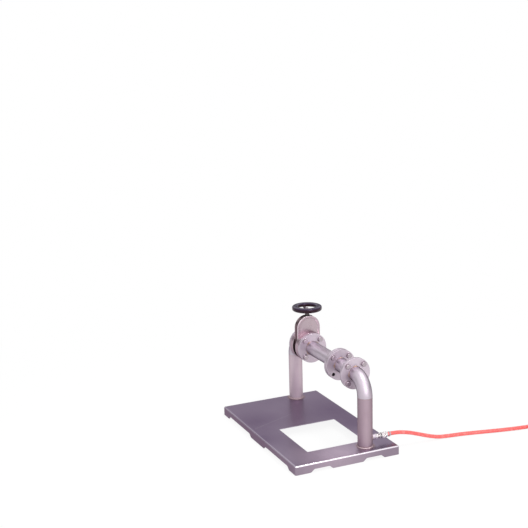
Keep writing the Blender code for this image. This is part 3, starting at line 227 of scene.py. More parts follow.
def join_rows(columns, *parts):
    """Join lists of (radius, height) pairs, which hold all round, with grids that vary round the axis."""
    halves = [np.hsplit(np.array(part), 2) if isinstance(part, list) else part for part in parts]
    return [np.concatenate([half * np.ones((1, columns)) for half in side]) for side in zip(*halves)]


def turned_piece(name, profile, origin, axis, soft, steps, *says, **moves):
    """Turn a profile into a piece, and settle it."""
    return settle(make_piece(name, turn(profile, origin, axis, soft, steps)), *says, **moves)


def carry(path, radius, steer, steps, closed=False):
    """Carry a circle along a path: P + r (cos a U + sin a V), where U and V are square to the path."""
    ahead = np.roll(path, -1, axis=0) - np.roll(path, 1, axis=0) if closed else np.gradient(path, axis=0)
    ahead = ahead / np.linalg.norm(ahead, axis=1, keepdims=True)
    u = np.cross(ahead, np.broadcast_to(steer, path.shape))
    u /= np.linalg.norm(u, axis=1, keepdims=True)
    v = np.cross(u, ahead)
    radius = np.broadcast_to(np.reshape(radius, (-1, 1, 1)), (len(path), 1, 1))
    if not closed:
        path, u, v = (np.concatenate([part[:1], part, part[-1:]]) for part in (path, u, v))
        radius = np.concatenate([0 * radius[:1], radius, 0 * radius[-1:]])
    a = round_angles(steps)[None, :, None]
    return path[:, None] + radius * (np.cos(a) * u[:, None] + np.sin(a) * v[:, None]), closed, True


print("axes:", ", ".join(AXES))

# %% [markdown]
# ## The hose's route
# The red gas hose leaves its plug level, sinks to the floor, and lies out of the picture, where what the
# photograph doesn't show of its five metres is put away as a flat coil: turns that wind in on the floor,
# climb one layer where they reverse, and wind out on top. The route's knots are joined by a centripetal
# Catmull-Rom curve, which passes through each knot and never overshoots between close ones.

# %% The path of the hose
HOSE_RADIUS = 0.008
HOSE_FLOOR = 0.0083
KNOTS = np.array([
    (0.308, 0.2083, 0.068), (0.308, 0.2163, 0.068), (0.308, 0.2243, 0.068),
    (0.308, 0.257, 0.0662), (0.308, 0.286, 0.0612), (0.308, 0.318, 0.0528),
    (0.308, 0.350, 0.0420), (0.308, 0.384, 0.0300), (0.308, 0.418, 0.0190),
    (0.308, 0.450, 0.0112), (0.311, 0.490, HOSE_FLOOR), (0.322, 0.560, HOSE_FLOOR),
    (0.340, 0.640, HOSE_FLOOR), (0.359, 0.720, HOSE_FLOOR), (0.374, 0.800, HOSE_FLOOR),
    (0.382, 0.870, HOSE_FLOOR), (0.384, 0.919, HOSE_FLOOR), (0.384, 0.927, HOSE_FLOOR),
    (0.384, 0.935, HOSE_FLOOR),
])


def smooth_step(value):
    value = np.clip(value, 0, 1)
    return value * value * (3 - 2 * value)


def through_knots(knots, per_span=24):
    """Centripetal Catmull-Rom: knot times grow by the root of the distance, lines are mixed three times."""
    knots = np.vstack([2 * knots[0] - knots[1], knots, 2 * knots[-1] - knots[-2]])
    a, b, c, d = (knots[k : len(knots) - 3 + k, None] for k in range(4))
    t1 = np.linalg.norm(b - a, axis=2, keepdims=True) ** 0.5
    t2 = t1 + np.linalg.norm(c - b, axis=2, keepdims=True) ** 0.5
    t3 = t2 + np.linalg.norm(d - c, axis=2, keepdims=True) ** 0.5
    t = t1 + (t2 - t1) * np.linspace(0, 1, per_span, endpoint=False)[None, :, None]
    ab = (t1 - t) / t1 * a + t / t1 * b
    bc = (t2 - t) / (t2 - t1) * b + (t - t1) / (t2 - t1) * c
    cd = (t3 - t) / (t3 - t2) * c + (t - t2) / (t3 - t2) * d
    abc = (t2 - t) / t2 * ab + t / t2 * bc
    bcd = (t3 - t) / (t3 - t1) * bc + (t - t1) / (t3 - t1) * cd
    curve = (t2 - t) / (t2 - t1) * abc + (t - t1) / (t2 - t1) * bcd
    return np.vstack([curve.reshape(-1, 3), knots[-2]])


def even_steps(path, spacing):
    """The same path, read at even distances along it."""
    reach = np.concatenate([[0], np.cumsum(np.linalg.norm(np.diff(path, axis=0), axis=1))])
    marks = np.linspace(0, reach[-1], round(reach[-1] / spacing) + 1)
    return np.stack([np.interp(marks, reach, path[:, k]) for k in range(3)], axis=1)


COIL_TURNS, COIL_X, COIL_Y, COIL_RADIUS = 7, 0.5073, 0.9553, 0.0645
TURN_SPACING, LAYER_SPACING = 0.0168, 0.0166
TAIL_SHIFT, TAIL_LENGTH, TAIL_STRAIGHT, END_HEIGHT = 0.012, 0.104, 0.016, 0.0113

turns = np.linspace(0, COIL_TURNS, COIL_TURNS * 96 + 1)
coil_radius = COIL_RADIUS + TURN_SPACING * np.abs(turns - COIL_TURNS / 2)
coil_angle = math.pi - 2 * math.pi * turns
coil = np.stack([
    COIL_X + coil_radius * np.cos(coil_angle),
    COIL_Y + coil_radius * np.sin(coil_angle),
    HOSE_FLOOR + LAYER_SPACING * smooth_step((turns - COIL_TURNS / 2 + 0.25) / 0.5),
], axis=1)
along = np.linspace(0, 1, 33)[1:]
share = smooth_step(along)
drop = (END_HEIGHT - coil[-1, 2]) * share**2
tail = coil[-1] + np.stack([-TAIL_SHIFT * share, TAIL_LENGTH * along, drop], axis=1)
tail = np.vstack([tail, tail[-1] + (0, TAIL_STRAIGHT, 0)])
hose_path = even_steps(np.vstack([through_knots(KNOTS), coil, tail]), 0.004)
hose_length = float(np.linalg.norm(np.diff(hose_path, axis=0), axis=1).sum())
print("hose path:", len(hose_path), "points,", round(hose_length, 3), "m")

# %% [markdown]
# ## Shader maths
# A material is arithmetic on patterns. Wrapping a socket in a small class lets that arithmetic be written as
# an expression, and each operator adds the Math node that it stands for. What is the same all over a surface
# is set on the shader's own socket, and only what varies is linked.


# %% Shader maths in expressions
LATHE_FINENESS = 2600.0


def operator(operation, swapped=False):
    """A method that adds one Math node over this number, and over the other one if there is one."""
    def method(self, *other):
        return self.math(operation, *((*other, self) if swapped else (self, *other)))
    return method


class Field:
    """A number that varies over a surface."""

    def __init__(self, nodes, socket):
        self.nodes, self.socket = nodes, socket

    def math(self, operation, *values, clamp=False):
        settings = {"operation": operation, "use_clamp": clamp}
        return Field(self.nodes, self.nodes.node("Math", *values, settings=settings).outputs[0])

    __add__ = __radd__ = operator("ADD")
    __sub__, __rsub__ = operator("SUBTRACT"), operator("SUBTRACT", swapped=True)
    __mul__ = __rmul__ = operator("MULTIPLY")
    __truediv__, __pow__, __abs__ = operator("DIVIDE"), operator("POWER"), operator("ABSOLUTE")
    larger, smaller, sine = operator("MAXIMUM"), operator("MINIMUM"), operator("SINE")

    def above(self, edge, softness):
        """0 below the edge and 1 above it, with a soft step between."""
        return self.math("ADD", (self - edge) / softness, 0.5, clamp=True)


def smallest(fields):
    return functools.reduce(Field.smaller, fields)


class Nodes:
    """A tree of shader nodes, of a material or of the world."""

    def __init__(self, owner):
        owner.use_nodes = True
        self.tree = owner.node_tree

    def feed(self, socket, value):
        if isinstance(value, Field):
            value = value.socket
        if isinstance(value, bpy.types.NodeSocket):
            self.tree.links.new(value, socket)
        else:
            socket.default_value = value

    def node(self, kind, *values, settings=(), **named):
        """Add a node: its settings first, then the values or links of its sockets, by place or by name."""
        node = self.tree.nodes.new("ShaderNode" + kind)
        for setting, value in dict(settings).items():
            setattr(node, setting, value)
        for socket, value in zip(node.inputs, values):
            self.feed(socket, value)
        for socket, value in named.items():
            self.feed(node.inputs[socket.replace("_", " ")], value)
        return node

    def place(self, centre=(0, 0, 0), stretch=(1, 1, 1)):
        """Object coordinates with their zero moved to the centre, then stretched."""
        source = self.node("TexCoord").outputs["Object"]
        moved = self.node("VectorMath", source, centre, settings={"operation": "SUBTRACT"}).outputs[0]
        return self.node("Mapping", Vector=moved, Scale=stretch).outputs[0]

    def parts(self, where):
        """The three coordinates of a vector, as numbers."""
        split = self.node("SeparateXYZ", where)
        return [Field(self, split.outputs[k]) for k in range(3)]

    def offsets(self, centre=(0, 0, 0)):
        """How far the surface lies from a point, along each axis."""
        return self.parts(self.place(centre))

    def noise(self, scale, detail, rough, where=None, stretch=(1, 1, 1)):
        """Noise over the object's coordinates, stretched or not, or over another vector."""
        where = self.place(stretch=stretch) if where is None else where
        node = self.node("TexNoise", Vector=where, Scale=scale, Detail=detail, Roughness=rough)
        return Field(self, node.outputs[0])

    def measure(self, operation, where, other):
        """The distance between two vectors, or their dot product."""
        node = self.node("VectorMath", where, other, settings={"operation": operation})
        return Field(self, node.outputs["Value"])

    def distance(self, spot, where=None):
        return self.measure("DISTANCE", self.place() if where is None else where, spot)

    def rings(self, centre, axis):
        """Fine lathe lines: noise that depends only on the distance from a turned part's axis."""
        parts = self.offsets(centre)
        parts.pop("XYZ".index(axis))
        radius = (parts[0] ** 2 + parts[1] ** 2) ** 0.5
        return self.noise(1.0, 2.0, 0.7, self.node("CombineXYZ", radius * LATHE_FINENESS).outputs[0])

    def ramp(self, value, stops):
        """A colour ramp over a value, from pairs of a place and a colour."""
        node = self.node("ValToRGB", value)
        elements = node.color_ramp.elements
        for number, (place, colour) in enumerate(stops):
            element = elements[number] if number < len(elements) else elements.new(place)
            element.position, element.color = place, (*colour, 1)
        return node.outputs[0]

    def blend(self, amount, low, high):
        """Mix two colours, each a link or three numbers."""
        node = self.node("Mix", settings={"data_type": "RGBA"})
        for number, value in ((0, amount), (6, low), (7, high)):
            self.feed(node.inputs[number], (*value, 1) if isinstance(value, tuple) else value)
        return node.outputs[2]

    def layers(self, colour, *pairs):
        """Lay more colours over a colour, one after another, each with its amount."""
        for amount, over in pairs:
            colour = self.blend(amount, colour, over)
        return colour


class Finish(Nodes):
    """One procedural material. The named values are the sockets that are the same all over."""

    def __init__(self, name, **uniform):
        self.material = bpy.data.materials.new(name)
        super().__init__(self.material)
        self.shader = self.tree.nodes["Principled BSDF"]
        for socket, value in uniform.items():
            self.shader.inputs[socket.replace("_", " ")].default_value = value

    def done(self, colour, roughness, height, depth, strength=1.0):
        """Link what varies: the colour, the roughness, and a bump with its depth in metres."""
        bump = self.node("Bump", Height=height, Distance=depth, Strength=strength).outputs[0]
        for socket, value in (("Base Color", colour), ("Roughness", roughness), ("Normal", bump)):
            self.feed(self.shader.inputs[socket], value)
        return self.material


def two_tone(name, low, high, cloud, mix, rough, bump):
    """Metal in a cloud of two tones. Roughness and bump follow the same cloud, each with a gain and a start."""
    metal = Finish(name, Metallic=1.0)
    cloud = metal.noise(*cloud)
    colour = metal.blend(cloud * mix[0] + mix[1], low, high)
    return metal.done(colour, cloud * rough[0] + rough[1], cloud, *bump)


print("shader helpers ready")

# %% [markdown]
# ## Stainless steel and its heat tint
# All the pipework is satin stainless steel. Next to a weld the oxide skin grows thick enough to colour: straw
# at the bead, then brown and violet, then a faint blue that ends within about a centimetre. The tint is a
# colour ramp over the distance to the nearest weld, broken up by noise so that no band is perfectly even.

# %% Steel finishes
STEEL = (0.50, 0.435, 0.50)
STEEL_LIGHT = (0.60, 0.53, 0.60)
GRAZING = (0.35, 0.30, 0.34, 1)
PIPE_GRAZING = (0.02, 0.01, 0.02, 1)
TINT_STOPS = [
    (0.00, (0.40, 0.24, 0.12)), (0.22, (0.46, 0.32, 0.19)), (0.42, (0.36, 0.25, 0.27)),
    (0.62, (0.30, 0.30, 0.42)), (0.80, (0.44, 0.40, 0.49)), (1.00, STEEL),
]


def heat_tint(finish, colour, far, amount, edge=0.2, softness=0.8):
    """The tint's ramp over a colour, from 0 at the weld to 1 where the tint ends."""
    return finish.blend((1.0 - far).above(edge, softness) * amount, colour, finish.ramp(far, TINT_STOPS))


def satin_steel(name, levels=(), axis="Z", reach=0.012, tinted=0.2,
                light=STEEL_LIGHT, deep=STEEL, rough=0.34):
    """Drawn pipe: fine lines round it, a soft cloud of tone, and tint near each level on its axis."""
    steel = Finish(name, Metallic=1.0, Specular_Tint=PIPE_GRAZING)
    stretch = {"X": (1800, 60, 60), "Z": (60, 60, 1800)}[axis]
    lines = steel.noise(1.0, 3.0, 0.6, stretch=stretch)
    cloud = steel.noise(14.0, 4.0, 0.55)
    smear = steel.noise(1.0, 3.0, 0.6, stretch=(40, 40, 9))
    colour = steel.blend(cloud * 0.9 + smear * 0.6 - 0.25, deep, light)
    if levels:
        coordinate = steel.offsets()["XYZ".index(axis)]
        near = smallest(abs(coordinate - level) for level in levels)
        uneven = steel.noise(90.0, 3.0, 0.6)
        far = near / reach + (uneven - 0.5) * 0.5
        colour = heat_tint(steel, colour, far, tinted, 0.25, 0.7)
    return steel.done(colour, cloud * 0.10 + lines * 0.08 + rough, lines, 0.00001, 0.2)


def turned_steel(name, centre, axis, stitches=(), light=STEEL_LIGHT, deep=STEEL):
    """A faced flange: lathe lines on its faces, tint round each weld stitch on its hub, and painted shade in
    its bolt holes.
    """
    steel = Finish(name, Metallic=1.0, Specular_Tint=GRAZING)
    lines = steel.rings(centre, axis)
    cloud = steel.noise(22.0, 4.0, 0.6)
    colour = steel.blend(cloud * 1.4 - 0.2, deep, light)
    if stitches:
        where = steel.place()
        near = smallest(steel.distance(stitch, where) for stitch in stitches)
        uneven = steel.noise(120.0, 3.0, 0.6, where)
        far = (near - 0.002) / 0.010 + (uneven - 0.5) * 0.6
        colour = heat_tint(steel, colour, far, 0.4)
        # Inside the bolt holes the colour goes near black: painted shade.
        y, z = steel.offsets(on_line(0))[1:]
        from_hole = ((abs(y) - BOLT_OFFSET) ** 2 + (abs(z) - BOLT_OFFSET) ** 2) ** 0.5
        painted_hole_shade = 1.0 - from_hole.above(HOLE_RADIUS + 0.0002, 0.0004)
        colour = steel.blend(painted_hole_shade, colour, (0.03, 0.022, 0.025))
    return steel.done(colour, cloud * 0.10 + lines * 0.08 + 0.36, lines, 0.00002, 0.25)


print("tint runs over", len(TINT_STOPS), "stops")

# %% [markdown]
# ## Welds
# A hand-laid bead is a row of overlapping ripples. Seen up close each ripple is a low step that leans one
# way, so the bead's radius follows a saw tooth along its length. Its crest is straw and its valleys brown.

# %% Weld finish and shapes
weld = Finish("weld_bead", Metallic=1.0)
weld_mix = weld.noise(300.0, 3.0, 0.6)
weld_tone = weld.noise(60.0, 2.0, 0.5)
weld_colour = weld.ramp(weld_tone * 0.6 + weld_mix * 0.4, [
    (0.25, (0.26, 0.15, 0.11)), (0.45, (0.40, 0.25, 0.18)),
    (0.62, (0.50, 0.36, 0.33)), (0.80, (0.38, 0.32, 0.38)),
])
WELD = weld.done(weld_colour, weld_mix * 0.25 + 0.22, weld_mix, 0.00012, 0.6)
FOOT_WELD = two_tone("brushed_weld", (0.34, 0.25, 0.28), (0.50, 0.40, 0.43), (220.0, 3.0, 0.6),
                     (1.6, -0.3), (0.15, 0.42), (0.00008, 0.5))


def ripples(count, turns):
    """A saw tooth that leans one way: 1 at the start of each ripple, falling to 0 at its end."""
    return 1 - np.mod(turns * count, 1.0)


def stitch_bead(centre, radius, angle, half_span, size):
    """A short bead on a circle about the pipe's axis, swollen in the middle and closed at both ends."""
    t = np.linspace(-1, 1, 72)
    a = math.radians(angle) + t * math.radians(half_span)
    path = np.stack([0 * a, radius * np.cos(a), radius * np.sin(a)], axis=1) + np.array(centre)
    swell = size * (1 - t**6) ** 0.5 * (1 + 0.16 * ripples(9, (t + 1) / 2))
    return carry(path, swell, (1.0, 0.0, 0.0), 14)


def ring_bead(path, steer, size, count):
    """A bead that closes on itself, with ripples counted round it."""
    turn_share = np.linspace(0, 1, len(path), endpoint=False)
    return carry(path, size * (1 + 0.14 * ripples(count, turn_share)), steer, 14, closed=True)


print("weld finish and shapes ready")

# %% [markdown]
# ## The folded tray
# The base is one steel sheet with a window, four skirts folded down and feet left between notches. A folded
# sheet is a single surface with a thickness, so the profile of the sheet is carried once round the tray. Each
# column of points runs from the window's edge over the fold to the foot, and back inside.

# %% Tray sizes and the skirt's lower edge
PLATE = Vector((0.736, 0.456, 0.037))
SHEET = 0.0025
FOLD = 0.005
WINDOW_LOW, WINDOW_HIGH, WINDOW_CORNER = (-0.010, -0.1235), (0.259, 0.133), 0.004
AXIS_Y, AXIS_HEIGHT, BEND_RADIUS = 0.107, 0.316, 0.074
STAND_X = {"right": 0.308, "left": -0.328}
MIDDLE_FOOT, END_FOOT_LONG_SIDE, END_FOOT_SHORT_SIDE = 0.133, 0.060, 0.066
NOTCH_DEPTH, NOTCH_SLOPE, NOTCH_ROUND = 0.0125, 0.015, 0.0025


def skirt_edge(length, end_foot):
    """The lower edge of one skirt: pairs of place along it and height, its bends rounded."""
    half, foot, middle = length / 2, length / 2 - end_foot, MIDDLE_FOOT / 2
    bends = [(middle, 0), (middle + NOTCH_SLOPE, NOTCH_DEPTH), (foot - NOTCH_SLOPE, NOTCH_DEPTH), (foot, 0)]
    bends = np.array([(-x, z) for x, z in bends[::-1]] + bends)
    ahead = np.diff(bends, axis=0, append=bends[-1:] + 1)
    behind = np.diff(bends, axis=0, prepend=bends[:1] - 1)
    ahead[-1], behind[0] = (1, 0), (1, 0)
    ahead /= np.linalg.norm(ahead, axis=1, keepdims=True)
    behind /= np.linalg.norm(behind, axis=1, keepdims=True)
    curve = rounded(bends - NOTCH_ROUND * behind, bends, bends + NOTCH_ROUND * ahead).reshape(-1, 2)
    fill = np.linspace(-half + FOLD, half - FOLD, 41)
    places = np.union1d(np.round(fill, 6), np.round(curve[:, 0], 6))
    return places, np.interp(places, curve[:, 0], curve[:, 1], left=0, right=0)


long_places, long_heights = skirt_edge(PLATE.x, END_FOOT_LONG_SIDE)
short_places, short_heights = skirt_edge(PLATE.y, END_FOOT_SHORT_SIDE)
print("columns on a long and a short side:", len(long_places), len(short_places))

# %% [markdown]
# The four sides and four corners give the columns. A corner has a few columns of its own, which fan round the
# fold's outer radius. Drawn in by the fold's radius or more, they meet in one point and are merged.

# %% Tray columns and the sheet's profile
CORNER_STEPS = 7
side_share = [np.interp(p, (p[0], p[-1]), (0, 1)) for p in (short_places, long_places)]
corner_turn = np.linspace(0, math.pi / 2, CORNER_STEPS)[1:-1]


def around(low, high, radius):
    """Points round a rectangle with round corners, one for each column, the other way round from a clock."""
    low, high = np.array(low, float), np.array(high, float)
    corners = np.array([(high[0], low[1]), high, (low[0], high[1]), low])
    rows = []
    for k, (corner, following) in enumerate(zip(corners, np.roll(corners, -1, axis=0))):
        ahead = (following - corner) / np.linalg.norm(following - corner)
        inward = np.array((-ahead[1], ahead[0]))
        reach = np.linalg.norm(following - corner) - 2 * radius
        share = side_share[k % 2][:, None]
        rows.append(corner + ahead * (radius + share * reach))
        a = corner_turn[:, None]
        centre = following - radius * ahead + radius * inward
        rows.append(centre + radius * (np.sin(a) * ahead - np.cos(a) * inward))
    return np.vstack(rows)


blank = np.zeros(len(corner_turn))
foot_line = np.tile(np.concatenate([short_heights, blank, long_heights, blank]), 2)
half_size = np.array((PLATE.x / 2, PLATE.y / 2))
FLAT_START = FOLD + 0.0015
soft = 0.0003


def plate_row(inset, z):
    """A row at a distance in from the tray's outline, at one height or at a height for each column."""
    edge = around(-half_size + inset, half_size - inset, max(FOLD - inset, 1e-7))
    return np.column_stack([edge, np.broadcast_to(z, len(edge))])


def window_row(outset, z):
    """A row at a distance out from the window's edge."""
    low, high = np.array(WINDOW_LOW) - outset, np.array(WINDOW_HIGH) + outset
    edge = around(low, high, WINDOW_CORNER + outset)
    return np.column_stack([edge, np.full(len(edge), z)])


def fold_row(radius, b):
    """A row of the fold, on an arc of this radius about the fold's centre."""
    return plate_row(FOLD - radius * math.cos(b), skirt_top + radius * math.sin(b))


top, under, skirt_top = PLATE.z, PLATE.z - SHEET, PLATE.z - FOLD
bend = np.linspace(math.pi / 2, 0, 9)
fold_out = [fold_row(FOLD, b) for b in bend]
fold_in = [fold_row(FOLD - SHEET, b) for b in bend[::-1]]
down = np.linspace(0.04, 1, 6)[:, None] * (foot_line + 2 * soft - skirt_top) + skirt_top
skirt_out = [plate_row(0, row) for row in down]
edge_rows = [plate_row(i, foot_line + z) for i, z in (
    (0, soft), (0.3 * soft, 0.3 * soft), (soft, 0),
    (SHEET - soft, 0), (SHEET - 0.3 * soft, 0.3 * soft), (SHEET, soft))]
skirt_in = [plate_row(SHEET, row) for row in down[::-1]]
lip = [window_row(o, z) for o, z in (
    (2 * soft, under), (soft, under), (0.3 * soft, under + 0.3 * soft), (0, under + soft),
    (0, top - soft), (0.3 * soft, top - 0.3 * soft), (soft, top), (2 * soft, top))]
across = np.linspace(0, 1, 8)[1:-1, None, None]
rim_top, rim_under = plate_row(FLAT_START, top), plate_row(FLAT_START, under)
flat_top = lip[-1] + across * (rim_top - lip[-1])
flat_under = rim_under + across * (lip[0] - rim_under)
tray_rows = [*lip, *flat_top, rim_top, *fold_out, *skirt_out, *edge_rows,
             *skirt_in, *fold_in, rim_under, *flat_under]
tray_grid = (np.stack(tray_rows), True, True)
print("tray grid:", tray_grid[0].shape)

# %% [markdown]
# ### The sheet's finish
# The sheet is cold-rolled: long, faint streaks run with the rolling, and the surface is smooth enough to hold
# a soft picture of the stands. Darker spots on the plate are painted shade, and a patch by the right stand
# is rougher from wear and painted lighter, painted light. The skirts are painted darker than the top, a
# painted shade, and the top fold is painted light, a painted highlight, where wear leaves it smoother. One
# thin scratch crosses the plate near the window.

# %% Sheet steel and the tray
sheet = Finish("rolled_sheet", Metallic=1.0, Specular_Tint=GRAZING)
streaks = sheet.noise(1.0, 4.0, 0.6, stretch=(5, 160, 160))
bloom = sheet.noise(5.0, 3.0, 0.5)
handling_and_painted_light_noise = sheet.noise(26.0, 5.0, 0.65)
SCRATCH_FROM, SCRATCH_TO = np.array((-0.0593, -0.2112)), np.array((-0.1463, -0.0047))
scratch_way = SCRATCH_TO - SCRATCH_FROM
scratch_angle = math.atan2(scratch_way[1], scratch_way[0])
scratch_middle = (*((SCRATCH_FROM + SCRATCH_TO) / 2), PLATE.z)
along_scratch, off_scratch, below_plate = sheet.offsets(scratch_middle)
turned_along = along_scratch * math.cos(scratch_angle) + off_scratch * math.sin(scratch_angle)
turned_off = off_scratch * math.cos(scratch_angle) - along_scratch * math.sin(scratch_angle)
scratch = (1.0 - abs(turned_off).above(0.0006, 0.0005)) * (1.0 - abs(turned_along).above(0.112, 0.004))
scratch = scratch * (1.0 - abs(below_plate).above(0.001, 0.0005))
foot_ring = smallest(sheet.distance((x, AXIS_Y, PLATE.z)) for x in STAND_X.values())
foot_far = (foot_ring - 0.035) / 0.016 + (handling_and_painted_light_noise - 0.5) * 0.6
sheet_colour = sheet.blend(bloom * 0.7 + streaks * 0.3, (0.30, 0.245, 0.335), (0.40, 0.345, 0.43))
sheet_colour = heat_tint(sheet, sheet_colour, foot_far, 0.25)
# Darker spots on the plate: painted shade, broken up by noise and the rolling streaks.
PAINTED_SHADE_SPOTS = ((-0.10, 0.18, 0.14), (-0.13, -0.18, 0.10), (0.05, -0.23, 0.09), (0.08, 0.19, 0.10))
for x, y, reach in PAINTED_SHADE_SPOTS:
    painted_shade_spot = 1.0 - sheet.distance((x, y, PLATE.z)).above(reach * 0.85, reach * 1.3)
    painted_shade_spot = painted_shade_spot * (0.25 + handling_and_painted_light_noise * 0.35 + streaks * 0.3)
    sheet_colour = sheet.blend(painted_shade_spot, sheet_colour, (0.20, 0.155, 0.235))
# A rubbed patch by the right stand: rougher from wear, and painted lighter, painted light.
rubbed_and_painted_light = 1.0 - sheet.distance((0.33, -0.04, PLATE.z)).above(0.12, 0.16)
rubbed_and_painted_light = rubbed_and_painted_light * (0.45 + handling_and_painted_light_noise * 0.5 + streaks * 0.5)
sheet_height = sheet.offsets()[2]
# The top fold is painted light, most at the two ends: a painted highlight, where wear also leaves it smoother.
fold_wear_and_painted_highlight = sheet_height.above(PLATE.z - 0.0042, 0.001) * (1.0 - sheet_height.above(PLATE.z - 0.0002, 0.0003))
at_ends = abs(sheet.offsets()[0]).above(PLATE.x / 2 - 0.007, 0.002)
fold_wear_and_painted_highlight = fold_wear_and_painted_highlight * (0.25 + 0.75 * at_ends)
# The skirts below the fold are painted darker than the top: painted shade.
skirt = 1.0 - sheet_height.above(PLATE.z - 0.0045, 0.002)
sheet_colour = sheet.layers(
    sheet_colour, (rubbed_and_painted_light * 0.9, (0.66, 0.55, 0.66)), (scratch * 0.5, (0.75, 0.72, 0.76)),
    (skirt * 0.6, (0.27, 0.20, 0.25)), (fold_wear_and_painted_highlight * 0.8, (0.88, 0.83, 0.88)))
sheet_rough = streaks * 0.05 + handling_and_painted_light_noise * 0.03 + bloom * 0.05 + 0.25
sheet_rough = sheet_rough + scratch * 0.2 + rubbed_and_painted_light * 0.10 - fold_wear_and_painted_highlight * 0.10
SHEET_STEEL = sheet.done(sheet_colour, sheet_rough, streaks, 0.00001, 0.12)
tray = settle(make_piece("folded_tray", tray_grid), "brushed_steel", SHEET_STEEL, "base_tray")
print("tray faces:", len(tray.data.polygons))

# %% [markdown]
# ## Stands and elbows
# Each stand is a length of two-inch pipe, welded round its foot and butt welded to a quarter bend. The welds
# at the top are ground flush, so only a fine groove shows. A bend is a ring of points swung about the bend's
# centre: at swing s and ring angle a it lies at distance R + r cos a from that centre.

# %% Pipes and bends
PIPE_RADIUS, PIPE_BORE = 0.03015, 0.02755
STAND_TOP, STAND_FOOT = 0.2417, 0.0373
SEAM_SOFT = 0.0004
PIPE_STEPS, BEND_ROWS = 128, 41


def on_line(x, y=0.0, z=0.0):
    """A point by its place along the line of pipes and how far off the line it lies."""
    return (x, AXIS_Y + y, AXIS_HEIGHT + z)


def pipe(name, low, high, origin, axis):
    """A pipe's wall as a turned outline."""
    wall = turn(band(PIPE_BORE, PIPE_RADIUS, low, high), origin, axis, SEAM_SOFT, PIPE_STEPS)
    return make_piece(name, wall)


def quarter_bend(name, stand_x, towards, tangent):
    """Rows swing through 90 degrees and then run straight, along the outside and back along the bore."""
    s = np.concatenate([np.zeros(3), np.linspace(0, math.pi / 2, BEND_ROWS), np.full(4, math.pi / 2)])
    lead = np.concatenate([np.zeros(3 + BEND_ROWS), np.linspace(0, tangent, 5)[1:]])
    wall = np.full(len(s), PIPE_RADIUS)
    wall[:2] = PIPE_RADIUS - SEAM_SOFT * np.array((1.0, 0.3))
    drop = np.zeros(len(s))
    drop[1:3] = (0.3 * SEAM_SOFT, SEAM_SOFT)
    s, lead, drop = (np.concatenate([part, part[::-1]]) for part in (s, lead, drop))
    wall = np.concatenate([wall, np.full(len(wall), PIPE_BORE)])
    a = round_angles(PIPE_STEPS)[None, :]
    reach = BEND_RADIUS + wall[:, None] * np.cos(a)
    s, lead, drop = s[:, None], lead[:, None], drop[:, None]
    x = stand_x + towards * (BEND_RADIUS + lead - reach * np.cos(s))
    z = AXIS_HEIGHT - BEND_RADIUS + reach * np.sin(s) + drop
    y = np.broadcast_to(AXIS_Y + wall[:, None] * np.sin(a), x.shape)
    return make_piece(name, (np.stack([x, y, z], axis=-1), True, True))


# The two stands are one steel in two tones: the right one painted darker, a painted shade, and the left one
# painted lighter, painted light.
STAND_PAINTED_LIGHT_TONES = {
    "right": ((0.38, 0.28, 0.33), (0.48, 0.37, 0.43)),
    "left": ((0.58, 0.46, 0.52), (0.76, 0.64, 0.70)),
}
for side, x in STAND_X.items():
    column = pipe(f"stand_pipe_{side}", STAND_FOOT, STAND_TOP, (x, AXIS_Y, 0), "+Z")
    deep, light = STAND_PAINTED_LIGHT_TONES[side]
    welds = (PLATE.z + 0.004, STAND_TOP)
    stand_steel = satin_steel(f"stand_steel_{side}", welds, tinted=0.1, light=light, deep=deep, rough=0.48)
    settle(column, "brushed_steel", stand_steel, f"stand_{side}")
BEND_STEEL = satin_steel("bend_steel", levels=(0.236, -0.2534), axis="X", reach=0.009)
for side, towards, tangent in (("right", -1, 0.006), ("left", 1, 0.0118)):
    bent = quarter_bend(f"bend_{side}", STAND_X[side], towards, tangent)
    settle(bent, "brushed_steel", BEND_STEEL, f"elbow_{side}")
print("stands and bends made")

# %% [markdown]
# ### Foot welds
# The fillet round each foot is a triangle with a full face. Its ripples stand on the ring like tiles, so the
# fillet's fullness follows the saw tooth.

# %% Foot fillets
FILLET = 0.005


def fillet_ring(x):
    """Round the foot: from the plate, over a full face, up to the pipe, and back inside the pipe's wall."""
    a = round_angles(360)[None, :]
    t = np.linspace(0, 1, 9)[:, None]
    full = 1 + (0.35 + 0.22 * ripples(84, a / (2 * math.pi) + 0.004 * t)) * np.sin(math.pi * t)
    wander = 1 + 0.05 * np.sin(5 * a + 1.0) + 0.04 * np.sin(11 * a)
    out, rise = (1 - t) * full * wander * 0.85 * FILLET, t * full * wander * 0.85 * FILLET
    r = np.concatenate([PIPE_RADIUS + out, PIPE_RADIUS - 0.001 + 0 * out[:2]])
    h = np.concatenate([rise + 0.00002, np.array([[FILLET * 0.8], [0.00002]]) + 0 * rise[:2]])
    return spin(r, PLATE.z + h, (x, AXIS_Y, 0))


for side, x in STAND_X.items():
    settle(make_piece(f"foot_weld_{side}", fillet_ring(x), sharp=60), "brushed_steel", FOOT_WELD)
print("foot welds made")

# %% [markdown]
# ## Pipe runs and flanges
# Two straight pipes run between the flanges. Each flange is a flat ring with four bolt holes, slipped over
# its pipe and stitched to it with four short welds. The holes are cut with a boolean, because a turned
# surface can't hold them.

# %% Straight pipes and flange rings
RUNS = {"spool_pipe": (0.101, 0.2277), "run_pipe": (-0.160, 0.0934)}
# The straight runs take a lighter copy of the pipe steel: painted light.
RUN_STEEL = satin_steel("run_steel", levels=(0.2205, 0.1115, 0.0830, -0.1495), axis="X", reach=0.010,
                         light=(0.70, 0.62, 0.70), deep=(0.58, 0.51, 0.58))
for name, (low, high) in RUNS.items():
    run = pipe(f"straight_{name}", low, high, on_line(0), "+X")
    settle(run, "brushed_steel", RUN_STEEL, name)

